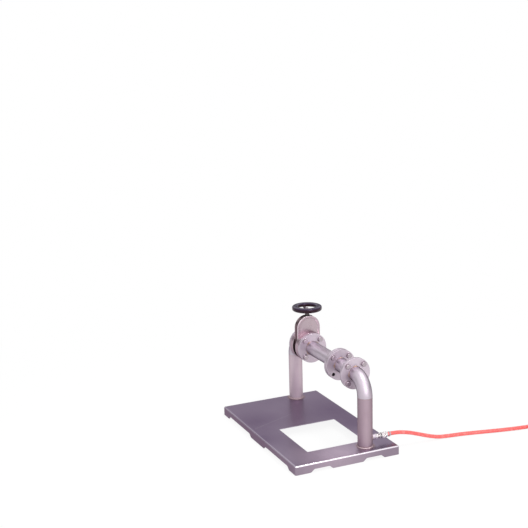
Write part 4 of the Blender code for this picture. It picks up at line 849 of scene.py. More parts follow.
FLANGE_RADIUS, FLANGE_THICKNESS, BOLT_OFFSET, HOLE_RADIUS = 0.065, 0.012, 0.03536, 0.007
FLANGES = {
    "elbow_flange": (0.222, 92, (0.234, 0.222)),
    "pair_flange_near": (0.098, 88, (0.110,)),
    "pair_flange_far": (0.0844, 70, (0.0844,)),
    "run_flange": (-0.163, 130, (-0.151,)),
    "left_flange": (-0.2512, 100, (-0.2512,)),
}


def cut(piece, tools, sharp=32, operation="DIFFERENCE"):
    """Take tools away from a piece, or join them to it, with exact booleans, and keep the result."""
    for tool in tools:
        step = piece.modifiers.new("cut", "BOOLEAN")
        step.operation, step.solver, step.object = operation, "EXACT", tool
    cut_mesh = bpy.data.meshes.new_from_object(piece.evaluated_get(bpy.context.evaluated_depsgraph_get()))
    piece.modifiers.clear()
    piece.data = cut_mesh
    cut_mesh.name = piece.name
    tidy_mesh(cut_mesh, sharp)
    for tool in tools:
        bpy.data.objects.remove(tool)
    return piece


def bolt_drills(low, high, radius=HOLE_RADIUS):
    """Four drills on the bolt circle, along X."""
    places = [on_line(0, y * BOLT_OFFSET, z * BOLT_OFFSET) for y in (-1, 1) for z in (-1, 1)]
    drill = band(0, radius, low, high)
    return [make_piece("drill", lathe(drill, place, "+X", False, 40)) for place in places]


flange_outline = band(PIPE_RADIUS + 0.0001, FLANGE_RADIUS, 0, FLANGE_THICKNESS)
for name, (start, first_angle, stitched) in FLANGES.items():
    place = on_line(start)
    ring = make_piece(name + "_ring", turn(flange_outline, place, "+X", 0.0008, 144))
    cut(ring, bolt_drills(start - 0.01, start + FLANGE_THICKNESS + 0.01))
    angles = [first_angle + 90 * k for k in range(4)]
    spots = [on_line(stitched[0], PIPE_RADIUS * math.cos(a), PIPE_RADIUS * math.sin(a))
             for a in map(math.radians, angles)]
    finish = turned_steel(name + "_steel", place, "X", spots, (0.68, 0.60, 0.67), (0.55, 0.47, 0.54))
    settle(ring, "brushed_steel", finish, name)
    beads = [stitch_bead(on_line(x), PIPE_RADIUS + 0.0004, a, 22, 0.0016) for x in stitched for a in angles]
    settle(make_piece(name + "_stitches", *beads, sharp=60), "brushed_steel", WELD)
print("flanges:", ", ".join(FLANGES))

# %% [markdown]
# ## Bolts and nuts
# A forged hexagon's end is chamfered on a lathe, and where that shallow cone meets the six flats it leaves an
# arc on each. The same follows from heights: the top is flat inside a circle, and beyond it falls at 30
# degrees out to the hexagon's own radius. The free end of each bolt carries its thread, a ridge whose phase
# turns once for each pitch of height.

# %% Hexagons and threads
HEX_STEPS, THREAD_STEPS = 96, 48
HEX_CRISPNESS, FACE_SHARE = 70, 0.475
FLATS, SHANK, PITCH = 0.019, 0.006, 0.00175


def hexagon_radius(flats):
    """A hexagon's radius at each angle, its corners very slightly rounded."""
    a = round_angles(HEX_STEPS)[None, :, None]
    faces = np.maximum(np.cos(a - round_angles(6, math.pi / 6)[None, None, :]), 0)
    return flats / 2 / ((faces**HEX_CRISPNESS).sum(axis=2) ** (1 / HEX_CRISPNESS))


def hexagon_rows(flats, low, high, bore, low_cone=True):
    """Rows of a nut or head: out along one face, over a 30 degree cone, up the flats, and back."""
    hexed = hexagon_radius(flats)
    circle, inner = np.full_like(hexed, FACE_SHARE * flats), np.full_like(hexed, bore)
    drop = np.maximum(hexed - circle, 0) * math.tan(math.radians(30))
    level = 0 * drop
    rise = drop if low_cone else 0.0002 + level
    r = [inner, circle, hexed, hexed, circle, inner]
    h = [low + level, low + level, low + rise, high - drop, high + level, high + level]
    return np.concatenate(r), np.concatenate(h)


def hexagon_grid(flats, low, high, bore, origin, axis="+Z"):
    return spin(*hexagon_rows(flats, low, high, bore), origin, axis)


def thread_rows(radius, pitch, low, high, steps=THREAD_STEPS, depth=0.55):
    """A thread: the radius dips with the height's place in the pitch, whose phase turns with the angle."""
    h = np.arange(low, high, pitch / 8)[:, None]
    a = round_angles(steps)[None, :]
    phase = np.mod(h / pitch - a / (2 * math.pi), 1.0)
    dip = np.clip(np.abs(phase - 0.5) * 2.4 - 0.2, 0, 1)
    fade = np.clip((high - h) / (0.7 * pitch), 0, 1)
    r = radius - depth * pitch * (1 - dip) * (0.4 + 0.6 * fade) - depth * pitch * 0.6 * (1 - fade)
    return r, h + 0 * a


def bolt_grids(origin, axis, grip, nut_height, proud):
    """Washer, head, shank with its threaded end, and a nut if it has a height, from the washer's seat."""
    flip = "-X" if axis == "+X" else "+X"
    under_head = band(0.0005, FACE_SHARE * FLATS, 0.0024, 0.0031)
    washer = band(SHANK + 0.0002, 0.012, 0.0001, 0.0026)
    far = grip + nut_height
    thread = thread_rows(SHANK, PITCH, far - 0.002, far + proud)
    plain = [(0, 0.0005), (SHANK - 0.0001, 0.0005), (SHANK - 0.0001, far - 0.0022)]
    shank = join_rows(THREAD_STEPS, plain, thread, [(0, thread[1][-1, 0])])
    grids = [
        spin(*hexagon_rows(FLATS, 0.0030, 0.0103, 0.0, low_cone=False), origin, axis, False),
        turn(under_head, origin, axis, 0.0001, 64),
        turn(washer, origin, axis, 0.0004, 64),
        spin(*shank, origin, flip, False),
    ]
    if nut_height:
        grids.append(hexagon_grid(FLATS, grip, far, 0.0056, origin, flip))
    return grids


bolt = Finish("bolt_steel", Metallic=1.0)
bolt_cloud = bolt.noise(180.0, 3.0, 0.6)
bolt_spread = bolt.noise(25.0, 2.0, 0.5)
bolt_colour = bolt.blend(bolt_cloud * 0.6 + bolt_spread * 0.5, (0.34, 0.28, 0.32), (0.56, 0.49, 0.53))
BOLT_STEEL = bolt.done(bolt_colour, bolt_cloud * 0.12 + 0.14, bolt_cloud, 0.00004, 0.4)
print("hexagon across corners for 19 mm flats:", round(float(hexagon_radius(FLATS).max()) * 2000, 2), "mm")

# %% [markdown]
# ### Where the bolts go
# Fifteen bolts hold the four joints. The pair of flanges in the middle has three: its lower hole on the open
# side is left empty, as the photograph shows. Those of the valve go into tapped holes in its body, so they
# have no nuts, and their thread is longer.

# %% Bolts in their joints
JOINTS = {
    "elbow_joint": (0.234, "+X", 0.0120, 0.010, 0.0025, (1, 2, 3, 4)),
    "pair_joint": (0.110, "+X", 0.0256, 0.010, 0.0025, (1, 2, 3)),
    "valve_near": (-0.151, "+X", 0.0136, 0.0, 0.0140, (1, 2, 3, 4)),
    "valve_far": (-0.2512, "-X", 0.0136, 0.0, 0.0140, (1, 2, 3, 4)),
}
for joint, (x, axis, grip, nut_height, proud, numbers) in JOINTS.items():
    for number in numbers:
        node = f"{joint}_bolt_{number}"
        low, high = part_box(node)
        place = (x, (low.y + high.y) / 2, (low.z + high.z) / 2)
        pieces = bolt_grids(place, axis, grip, nut_height, proud)
        settle(make_piece(node + "_set", *pieces, sharp=24), "bolt_steel", BOLT_STEEL, node)
print("bolts:", sum(len(numbers) for *_, numbers in JOINTS.values()))

# %% [markdown]
# ## The valve's body
# The flat gate valve is cast in two halves that meet in the middle. Seen along the pipe the body is an
# upright oval with a raised rim and a sunk face. One half is a stack of that outline: out from the split,
# over the rim, and down into the face. A drum as wide as the line's flange stands on it and holds the tapped
# holes for that flange's bolts.

# %% The valve's outline
VALVE_X = -0.2011
VALVE_MIDDLE = on_line(VALVE_X)
BODY_HALF, BODY_RISE, BODY_TOP = 0.054, 0.081, 0.134
HALF_THICKNESS, RIM_WIDTH, RIM_ROUND, RECESS = 0.015, 0.0085, 0.0025, 0.002
DRUM_RADIUS, DRUM_END, PORT = 0.065, 0.0365, 0.019
BODY_STEPS = 224


def body_outline(inset):
    """An upright oval drawn in by an inset: two half circles joined by straights, flattened at the top."""
    radius = BODY_HALF - inset
    straight, arc = BODY_RISE, math.pi * radius
    s = np.linspace(0, 2 * (straight + arc), BODY_STEPS, endpoint=False)
    upper = np.clip((s - straight / 2) / radius, 0, math.pi)
    lower = np.clip((s - 1.5 * straight - arc) / radius, 0, math.pi)
    rise = np.clip(s, 0, straight / 2) - np.clip(s - straight / 2 - arc, 0, straight)
    rise = rise + np.clip(s - 1.5 * straight - 2 * arc, 0, straight / 2)
    y = radius * np.cos(upper + lower)
    z = BODY_RISE / 2 + rise + radius * (np.sin(upper) - np.sin(lower))
    return y, np.minimum(z, BODY_TOP - inset)


def body_row(inset, depth):
    y, z = body_outline(inset)
    return np.stack([np.full_like(y, depth), y, z], axis=1)


def middle_row(depth):
    return np.broadcast_to((depth, 0.0, BODY_RISE / 2), (BODY_STEPS, 3))


def body_plate(side):
    """Half of the flat body: from the middle of the split, over the rim, to the middle of the sunk face."""
    rim, split = HALF_THICKNESS, 0.00015
    rows = [middle_row(split), body_row(0.001, split), body_row(0.0004, split), body_row(0.0001, 0.00025)]
    rows += [body_row(0, 0.0006), body_row(0, rim - RIM_ROUND - 0.0005)]
    corner = np.linspace(0, math.pi / 2, 7)
    rows += [body_row(RIM_ROUND * (1 - math.cos(t)), rim - RIM_ROUND * (1 - math.sin(t))) for t in corner]
    rows += [body_row(RIM_ROUND + 0.0004, rim), body_row(RIM_WIDTH - 0.0008, rim)]
    slope = np.linspace(0, 1, 7)
    rows += [body_row(RIM_WIDTH - 0.0004 + 0.0030 * t, rim - RECESS * float(smooth_step(t))) for t in slope]
    rows += [body_row(RIM_WIDTH + 0.0034, rim - RECESS), middle_row(rim - RECESS)]
    return np.stack(rows) * (side, 1, 1) + VALVE_MIDDLE, False, True


def valve_half(name, side):
    """The flat plate and, standing in its face, a plain turned drum with softened edges."""
    half = make_piece(name, body_plate(side), sharp=36)
    root = HALF_THICKNESS - RECESS - 0.001
    edge = np.linspace(0, math.pi / 2, 6)[:, None]
    edge = (DRUM_RADIUS, DRUM_END) - 0.0008 * np.concatenate([1 - np.cos(edge), 1 - np.sin(edge)], axis=1)
    start = [(0, root), (DRUM_RADIUS, root), (DRUM_RADIUS, DRUM_END - 0.0012)]
    rows = np.concatenate([start, edge, [(DRUM_RADIUS - 0.0012, DRUM_END), (0, DRUM_END)]])
    axis = "+X" if side > 0 else "-X"
    drum = make_piece("drum", lathe(rows, VALVE_MIDDLE, axis, False, 160), sharp=36)
    return cut(half, [drum], 36, "UNION")


print("outline height:", round(float(np.ptp(body_outline(0)[1])), 4), "m")

# %% [markdown]
# ### The hollows
# Inside, the halves leave a pocket for the gate, a channel for the nut that lifts it, a groove for the stem
# and a seat round the port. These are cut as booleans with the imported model's own room, so that the gate
# still runs free.

# %% The valve halves, cut and finished
GATE_HALF, GATE_ROOM, GATE_TRAVEL = 0.003, 0.0003, 0.0421


def prism(outline, low, high):
    """A tool with one outline all along: rows at its two ends, each closed at its middle."""
    outline = np.array(outline, float)
    middle = np.broadcast_to(outline.mean(axis=0), outline.shape)
    rows = [(middle, low), (outline, low), (outline, high), (middle, high)]
    grid = np.stack([np.column_stack([ring, np.full(len(ring), z)]) for ring, z in rows])
    return make_piece("tool", (put(grid, VALVE_MIDDLE, "+X"), False, True))


def upright_slot(radius, rise, steps=24):
    a = np.concatenate([np.linspace(0, math.pi, steps), np.linspace(math.pi, 2 * math.pi, steps)])
    lift = np.concatenate([np.full(steps, rise), np.zeros(steps)])
    return np.stack([radius * np.cos(a), radius * np.sin(a) + lift], axis=1)


def valve_tools():
    """Pocket, channel, seat, stem groove and port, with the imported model's room round the pieces in them."""
    nut_low, nut_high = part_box("gate_lift_nut")
    plate_low, plate_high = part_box("gate_plate")
    pocket_half = (plate_high.y - plate_low.y) / 2 + 0.0008
    pocket = upright_slot(pocket_half, plate_high.z - AXIS_HEIGHT + GATE_TRAVEL - pocket_half + 0.0045)
    side = (nut_high.y - nut_low.y) / 2 + GATE_ROOM
    low, high = nut_low.z - AXIS_HEIGHT - 0.002, nut_high.z - AXIS_HEIGHT + GATE_TRAVEL + 0.0004
    channel = [(-side, low), (side, low), (side, high), (-side, high)]
    depth = (nut_high.x - nut_low.x) / 2 + 0.0004
    seat_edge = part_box("seat_ring_near")[1]
    seat = upright_slot(seat_edge.z - AXIS_HEIGHT + GATE_ROOM, 0)
    seat_back = seat_edge.x - VALVE_X + GATE_ROOM
    groove = make_piece("tool", lathe(band(0, 0.0046, 0.07, 0.145), VALVE_MIDDLE, "+Z", False, 32))
    port = prism(upright_slot(PORT, 0, 48), -0.05, 0.05)
    return [prism(pocket, -GATE_HALF - GATE_ROOM, GATE_HALF + GATE_ROOM), prism(channel, -depth, depth),
            prism(seat, -seat_back, seat_back), groove, port]


cast = Finish("cast_steel", Metallic=1.0, Specular_Tint=GRAZING)
sand = cast.noise(420.0, 4.0, 0.6)
skin_tone = cast.noise(32.0, 4.0, 0.6)
runs = cast.noise(1.0, 3.0, 0.6, stretch=(60, 60, 9))
from_split = abs(cast.offsets(VALVE_MIDDLE)[0])
# The body's sides round the split are painted dark, a painted shade, and the rim's outer edge is painted light,
# a painted highlight.
painted_side_shade = 1.0 - from_split.above(0.0128, 0.0015)
painted_rim_highlight = from_split.above(0.0132, 0.0008) * (1.0 - from_split.above(0.0148, 0.0003))
cast_colour = cast.blend(skin_tone * 0.7 + runs * 0.5 - 0.1, (0.42, 0.31, 0.36), (0.61, 0.48, 0.54))
cast_colour = cast.layers(
    cast_colour, (painted_side_shade * (0.65 + runs * 0.3), (0.16, 0.115, 0.12)), (painted_rim_highlight * 0.7, (0.86, 0.77, 0.80)))
cast_rough = skin_tone * 0.16 + sand * 0.10 + 0.16
CAST_STEEL = cast.done(cast_colour, cast_rough, sand * 0.4 + skin_tone, 0.00010, 0.35)
for name, side in (("near", 1), ("far", -1)):
    half = valve_half(f"valve_half_{name}", side)
    tapped = sorted((VALVE_X + side * (DRUM_END - 0.016), VALVE_X + side * 0.05))
    cut(half, valve_tools() + bolt_drills(*tapped, radius=0.0063), sharp=36)
    settle(half, "cast_steel", CAST_STEEL, f"valve_body_{name}")

# %% [markdown]
# ### Gate, seats, stem and gland
# The working pieces inside are the imported model's own, with finishes of their own. The stem is drawn again
# with its screw, because the screw's lead is what ties the gate's lift to the wheel's turn: 4 mm for each
# turn. The stuffing box and gland nut above it keep the gas in, and both are coloured near black, for the
# dark neck under the wheel.

# %% Gate parts and gland
CENTRE = (VALVE_X, AXIS_Y, 0.0)
STACK = ("valve_stem", "stuffing_box", "gland_nut", "wheel_washer", "wheel_nut")
stem, box, gland, washer, wheel_nut = ([corner.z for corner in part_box(name)] for name in STACK)
HUB_LOW, HUB_HIGH = gland[1] + 0.0006, washer[0] - 0.0003
SCREW_LEAD, SCREW_TOP, COLLAR = 0.004, 0.440, box[0] + 0.0033
screw_thread = thread_rows(0.0040, SCREW_LEAD, stem[0] + 0.0004, SCREW_TOP, depth=0.22)
above_screw = [
    (0.0037, SCREW_TOP + 0.0002), (0.0040, SCREW_TOP + 0.0006), (0.0040, COLLAR - 0.00005), (0.0070, COLLAR),
    (0.0070, COLLAR + 0.0030), (0.0040, COLLAR + 0.00305), (0.0040, HUB_LOW), (0.0031, HUB_LOW + 0.00002),
    (0.0031, HUB_HIGH), (0.0029, HUB_HIGH + 0.00002)]
end_thread = thread_rows(0.0029, 0.0010, HUB_HIGH + 0.0002, stem[1] - 0.0003, depth=0.4)
stem_rows = join_rows(THREAD_STEPS, [(0, stem[0]), (0.0034, stem[0])], screw_thread, above_screw, end_thread,
                      [(0.0021, stem[1]), (0, stem[1])])
screw = make_piece("lifting_screw", spin(*stem_rows, CENTRE, "+Z", False), sharp=40)
settle(screw, "brushed_steel", satin_steel("stem_steel"), "valve_stem", body="wheel_and_stem")

floor_of_box = box[0] + 0.003
box_outline = [(0.0043, box[0]), (0.0095, box[0]), (0.0095, box[1]), (0.0073, box[1]), (0.0073, floor_of_box),
               (0.0043, floor_of_box)]
# The stuffing box and gland nut are coloured near black.
black = Finish("blackened_steel", Metallic=1.0)
black_cloud = black.noise(70.0, 4.0, 0.6)
black_lines = black.rings(CENTRE, "Z")
black_colour = black.blend(black_cloud * 1.5 - 0.25, (0.055, 0.045, 0.048), (0.13, 0.11, 0.115))
NEAR_BLACK_STEEL = black.done(black_colour, black_cloud * 0.14 + black_lines * 0.08 + 0.26, black_lines, 0.00002)
turned_piece("stuffing_box_turned", box_outline, CENTRE, "+Z", 0.0004, 96,
             "blackened_steel", NEAR_BLACK_STEEL, "stuffing_box")
gland_nut = make_piece("gland_nut_hex", hexagon_grid(0.019, *gland, 0.0043, CENTRE), sharp=24)
settle(gland_nut, "blackened_steel", NEAR_BLACK_STEEL, "gland_nut")


def plain_finish(name, low, high, rough, metallic=1.0, scale=60.0, grain=0.00004):
    """A finish for pieces that are mostly hidden: two tones in a cloud, and a fine grain."""
    made = Finish(name, Metallic=metallic)
    cloud = made.noise(scale, 4.0, 0.6)
    fine = made.noise(scale * 14, 3.0, 0.6)
    colour = made.blend(cloud * 1.6 - 0.3, low, high)
    return made.done(colour, cloud * 0.15 + fine * 0.10 + rough, fine, grain)


SEAT_PLASTIC = plain_finish("seat_plastic", (0.70, 0.69, 0.66), (0.82, 0.81, 0.78), 0.35, 0.0)
GRAPHITE = plain_finish("graphite", (0.035, 0.035, 0.038), (0.075, 0.075, 0.080), 0.38, 0.2, 90.0, 0.00012)
NODE_FINISHES = {
    "gate_plate": plain_finish("ground_plate", (0.45, 0.44, 0.46), (0.62, 0.61, 0.63), 0.14),
    "gate_lift_nut": plain_finish("bronze", (0.55, 0.36, 0.16), (0.72, 0.50, 0.25), 0.18),
    **dict.fromkeys(("seat_ring_near", "seat_ring_far"), SEAT_PLASTIC),
    **dict.fromkeys(("stem_packing", "pair_gasket", "valve_gasket_near", "valve_gasket_far"), GRAPHITE),
}
for name, finish in NODE_FINISHES.items():
    for material_slot in nodes[name].material_slots:
        material_slot.material = finish
print("finished CAD nodes:", ", ".join(NODE_FINISHES))

# %% [markdown]
# ## The handwheel
# The wheel is a glossy black moulding or casting: a fat rim, a low hub and three spokes that rise to the rim.
# The rim's section is a rounded rectangle, given by a superellipse, where the cosine and sine are raised to a
# power below one. Each spoke flares where it meets the hub and the rim, as a cast one does for strength.

# %% Wheel shapes
WHEEL_RADIUS, RIM_LEVEL, RIM_SECTION, RIM_FULLNESS = 0.0645, 0.4832, (0.0265, 0.020), 0.6
SPOKES, SPOKE_HALF = (54, 174, 294), (0.0062, 0.0031)


def fuller(value, power):
    return np.sign(value) * np.abs(value) ** power


def rim_grid():
    """Turn a superellipse of the rim's width and height about the stem, its underside shallower inwards."""
    a = round_angles(40)[:, None]
    out, up = fuller(np.cos(a), RIM_FULLNESS), fuller(np.sin(a), RIM_FULLNESS)
    shallow = 1 - 0.5 * ((1 - out) / 2) ** 2
    r = WHEEL_RADIUS - RIM_SECTION[0] / 2 + RIM_SECTION[0] / 2 * out
    h = RIM_LEVEL + RIM_SECTION[1] / 2 * np.where(up < 0, up * shallow, up)
    return spin(r, h, CENTRE, steps=160)


def spoke_grid(angle):
    """From inside the hub to inside the rim: rounded rectangles whose width and height flare at both ends."""
    t = np.linspace(0, 1, 33)[:, None]
    a = round_angles(28)[None, :]
    flare = 1 + 0.55 * np.exp(-((t / 0.16) ** 2)) + 0.5 * np.exp(-(((1 - t) / 0.18) ** 2))
    reach = 0.006 + t * (WHEEL_RADIUS - RIM_SECTION[0] / 2 - 0.004)
    start = HUB_LOW + 0.62 * (HUB_HIGH - HUB_LOW)
    level = start + smooth_step((t - 0.05) * 1.05) * (RIM_LEVEL - start)
    across = SPOKE_HALF[0] * flare * fuller(np.cos(a), RIM_FULLNESS)
    lift = SPOKE_HALF[1] * (0.6 + 0.4 * flare) * fuller(np.sin(a), RIM_FULLNESS)
    grid = np.stack([reach + 0 * a, across, level + lift], axis=-1)
    ends = grid.mean(axis=1, keepdims=True) + 0 * grid
    grid = np.concatenate([ends[:1], grid, ends[-1:]])
    c, s = math.cos(math.radians(angle)), math.sin(math.radians(angle))
    return grid @ np.array([[c, s, 0], [-s, c, 0], [0, 0, 1]]) + np.array(CENTRE), False, True


hub_corners = [(0.0032, HUB_LOW), (0.011, HUB_LOW), (0.011, HUB_LOW + 0.006),
               (0.0095, HUB_HIGH), (0.0032, HUB_HIGH)]
hub_grid = lathe(soften(hub_corners, 0.0012, 6), CENTRE)

gloss = Finish("black_gloss", Metallic=0.0, Specular_IOR_Level=0.32, Specular_Tint=(0.80, 0.68, 1.0, 1))
peel = gloss.noise(110.0, 3.0, 0.5)
wear = gloss.noise(40.0, 4.0, 0.6)
# The top of the rim is painted violet and its sides brown-black: a painted sheen on the top.
painted_top_sheen = gloss.offsets((0, 0, RIM_LEVEL))[2].above(0.0060, 0.003)
gloss_colour = gloss.blend(painted_top_sheen, (0.016, 0.004, 0.005), (0.020, 0.011, 0.032))
gloss_colour = gloss.blend(wear.above(0.62, 0.2) * 0.4, gloss_colour, (0.040, 0.026, 0.034))
BLACK_GLOSS = gloss.done(gloss_colour, wear * 0.10 + 0.04, peel, 0.00006, 0.25)
wheel = make_piece("three_spoke_wheel", rim_grid(), hub_grid, *map(spoke_grid, SPOKES), sharp=50)
settle(wheel, "black_gloss", BLACK_GLOSS, "handwheel", body="wheel_and_stem")

turned_piece("wheel_washer_turned", band(0.0032, 0.0075, *washer), CENTRE, "+Z", 0.0003, 64,
             "bolt_steel", BOLT_STEEL, "wheel_washer", body="wheel_and_stem")
top_nut = make_piece("wheel_nut_hex", hexagon_grid(0.010, *wheel_nut, 0.0031, CENTRE), sharp=24)
settle(top_nut, "bolt_steel", BOLT_STEEL, "wheel_nut", body="wheel_and_stem")
print("wheel made, outside radius", WHEEL_RADIUS)

# %% [markdown]
# ## The gas inlet
# The fittings stand in a row on the right stand: a welded socket, a hexagon adapter, and a quick coupler with
# its sprung, knurled sleeve. A knurl is two families of grooves that cross, so the sleeve's radius is the
# product of two waves whose phases run opposite ways with height.

# %% Socket, adapter and coupler
INLET = (STAND_X["right"], AXIS_Y, 0.068)


def saddle_path(radius):
    """Where the socket meets the round stand: across is r cos a, up is r sin a, and out follows the pipe."""
    a = round_angles(96)
    x = radius * np.cos(a)
    return np.stack([x, np.sqrt(PIPE_RADIUS**2 - x**2), radius * np.sin(a)], axis=1) + np.array(INLET)


SOCKET_START = 0.0272
socket_outline = [(0.0053, SOCKET_START), (0.0105, SOCKET_START), (0.0105, 0.0450), (0.0090, 0.0450),
                  (0.0080, 0.0440), (0.0053, 0.0440)]
turned_piece("inlet_socket_turned", socket_outline, INLET, "+Y", 0.0003, 80,
             "brushed_steel", turned_steel("socket_steel", INLET, "Y"), "inlet_socket")
saddle_bead = ring_bead(saddle_path(0.0112), (0.0, 1.0, 0.0), 0.0017, 26)
settle(make_piece("inlet_socket_weld", saddle_bead, sharp=60), "brushed_steel", WELD)

NICKEL = two_tone("nickel_plate", (0.60, 0.56, 0.57), (0.80, 0.76, 0.77), (130.0, 4.0, 0.6),
                  (1.5, -0.25), (0.14, 0.10), (0.00003, 0.3))

hexagon = tuple(grid[:4] for grid in hexagon_rows(0.019, 0.0453, 0.0531, 0.0053))
neck = thread_rows(0.0090, 0.0014, 0.0531, 0.0637, HEX_STEPS, 0.5)
adapter_rows = join_rows(HEX_STEPS, hexagon, [(0.0090, 0.0531)], neck, [(0.0082, 0.0637), (0.0053, 0.0637)])
adapter = make_piece("inlet_adapter_hex", spin(*adapter_rows, INLET, "+Y"), sharp=24)
settle(adapter, "nickel_plate", NICKEL, "inlet_adapter")

barrel_outline = [(0.0058, 0.0640), (0.0106, 0.0640), (0.0106, 0.0670), (0.0083, 0.0670), (0.0083, 0.0968),
                  (0.0075, 0.0968), (0.0075, 0.0981), (0.0083, 0.0981), (0.0083, 0.0983), (0.0058, 0.0983)]
turned_piece("coupler_barrel_turned", barrel_outline, INLET, "+Y", 0.0002, 80,
             "nickel_plate", NICKEL, "coupler_barrel")
print("inlet row starts at y", round(INLET[1] + SOCKET_START, 4))

# %% Knurled sleeve, spring and snap ring
KNURLS, SLEEVE_STEPS, KNURL_DEPTH, KNURL_LEAD = 40, 320, 0.0006, 0.0120
SLEEVE_LOW, SLEEVE_HIGH, SLEEVE_OUT, SLEEVE_BORE, LIP = 0.0713, 0.0967, 0.0120, 0.01045, 0.0070
LIP_BORE = 0.0086
a = round_angles(SLEEVE_STEPS)[None, :]
h = np.linspace(SLEEVE_LOW + 0.0045, SLEEVE_HIGH - 0.0065, 72)[:, None]
wave_up = np.abs(np.sin(KNURLS / 2 * (a + h / KNURL_LEAD)))
wave_down = np.abs(np.sin(KNURLS / 2 * (a - h / KNURL_LEAD)))
edge = np.clip(np.minimum(h - h.min(), h.max() - h) / 0.0006, 0, 1)
knurl = SLEEVE_OUT - KNURL_DEPTH * (1 - wave_up * wave_down) * edge - 0.0002
before = [(SLEEVE_BORE, SLEEVE_LOW), (SLEEVE_OUT - 0.0010, SLEEVE_LOW), (SLEEVE_OUT, SLEEVE_LOW + 0.0010),
          (SLEEVE_OUT, SLEEVE_LOW + 0.0038), (SLEEVE_OUT - 0.0005, SLEEVE_LOW + 0.0042)]
after = [(SLEEVE_OUT - 0.0005, SLEEVE_HIGH - 0.0062), (SLEEVE_OUT, SLEEVE_HIGH - 0.0058),
         (SLEEVE_OUT, SLEEVE_HIGH - 0.0010), (SLEEVE_OUT - 0.0010, SLEEVE_HIGH), (LIP_BORE, SLEEVE_HIGH),
         (LIP_BORE, SLEEVE_HIGH - LIP), (SLEEVE_BORE, SLEEVE_HIGH - LIP)]
sleeve_rows = join_rows(SLEEVE_STEPS, before, (knurl, h), after)
sleeve = make_piece("knurled_sleeve", spin(*sleeve_rows, INLET, "+Y"), sharp=28)
settle(sleeve, "nickel_plate", NICKEL, "coupler_sleeve", body="sleeve")

turned_piece("snap_ring_turned", band(0.0078, 0.0098, 0.0970, 0.0980), INLET, "+Y", 0.0002, 64,
             "bolt_steel", BOLT_STEEL, "coupler_snap_ring")

SPRING_TURNS, SPRING_RADIUS, WIRE_RADIUS = 4, 0.00955, 0.0006
spring_low, spring_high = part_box("coupler_spring")
t = np.linspace(0, 1, SPRING_TURNS * 40 + 1)
coil_turn = 2 * math.pi * SPRING_TURNS * t
outward = np.stack([np.cos(coil_turn), 0 * t, np.sin(coil_turn)], axis=1)
spring_path = np.array((INLET[0], 0, INLET[2])) + SPRING_RADIUS * outward
spring_path[:, 1] = spring_low.y + WIRE_RADIUS + (spring_high.y - spring_low.y - 2 * WIRE_RADIUS) * t
SPRING_STEEL = plain_finish("spring_steel", (0.50, 0.49, 0.51), (0.68, 0.67, 0.69), 0.16)
spring = make_piece("coupler_spring_wire", carry(spring_path, WIRE_RADIUS, outward, 10), sharp=60)
settle(spring, "bolt_steel", SPRING_STEEL, "coupler_spring")
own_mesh(spring)
print("knurled sleeve:", KNURLS, "grooves each way")

# %% [markdown]
# ## The hose and its ends
# The hose is smooth red rubber over braid, and the braid's weave shows very faintly through it. Its tube
# carries its own UV map, in which one direction is the distance along the hose, so the weave follows every
# bend. The plug, the ear clamp and the brass end ride on it.

# %% Hose finish
WEAVE_ALONG, WEAVE_ROUND = 1005.0, 75.4
hose_finish = Finish("hose_red", Metallic=0.0, Specular_IOR_Level=0.6, Coat_Weight=0.5, Coat_Roughness=0.3)
lay_u, lay_v = hose_finish.parts(hose_finish.node("TexCoord").outputs["UV"])[:2]
weave = abs((lay_v * WEAVE_ALONG + lay_u * WEAVE_ROUND).sine())
weave_back = abs((lay_v * WEAVE_ALONG - lay_u * WEAVE_ROUND).sine())
scuffs = hose_finish.noise(70.0, 5.0, 0.6)
tone = hose_finish.noise(12.0, 3.0, 0.5)
hose_colour = hose_finish.blend(tone * 0.7 + scuffs * 0.3, (0.60, 0.050, 0.048), (0.80, 0.115, 0.105))
hose_colour = hose_finish.blend(scuffs.above(0.62, 0.2) * 0.4, hose_colour, (0.86, 0.34, 0.32))
HOSE_RED = hose_finish.done(hose_colour, scuffs * 0.18 + 0.26, weave * weave_back, 0.00015, 0.25)


def tube_with_lay(name, path, radius, steps):
    """A carried circle whose UV map holds the share round the hose and the metres along it."""
    grid = carry(path, radius, (0.0, 0.0, 1.0), steps)[0]
    rows = len(grid)
    reach = np.concatenate([[0], np.cumsum(np.linalg.norm(np.diff(path, axis=0), axis=1))])
    reach = np.concatenate([reach[:1], reach, reach[-1:]])
    faces = corner_numbers(rows, steps, False, True)
    mesh = bpy.data.meshes.new(name)
    mesh.from_pydata(grid.reshape(-1, 3), [], faces)
    round_share = np.tile([0, 1, 1, 0], len(faces)) + np.repeat(np.tile(np.arange(steps), rows - 1), 4)
    lay = np.stack([round_share / steps, reach[faces.reshape(-1) // steps]], axis=1)
    mesh.uv_layers.new(name="lay").uv.foreach_set("vector", lay.astype(np.float32).reshape(-1))
    tidy_mesh(mesh, 60)
    return add_object(name, mesh)


hose = tube_with_lay("gas_hose", hose_path, HOSE_RADIUS, 20)
settle(hose, "hose_red", HOSE_RED, "hose_run", "hose_coil")
print("hose faces:", len(hose.data.polygons))

# %% Plug, ear clamp and end fittings
plug_outline = [(0.0032, 0.0790), (0.0050, 0.0790), (0.0055, 0.0800), (0.0055, 0.0985), (0.0090, 0.0986),
                (0.0090, 0.1010), (0.0032, 0.1010)]
plug = turned_piece("hose_plug_turned", plug_outline, INLET, "+Y", 0.0003, 80,
                    "nickel_plate", NICKEL, "hose_plug")

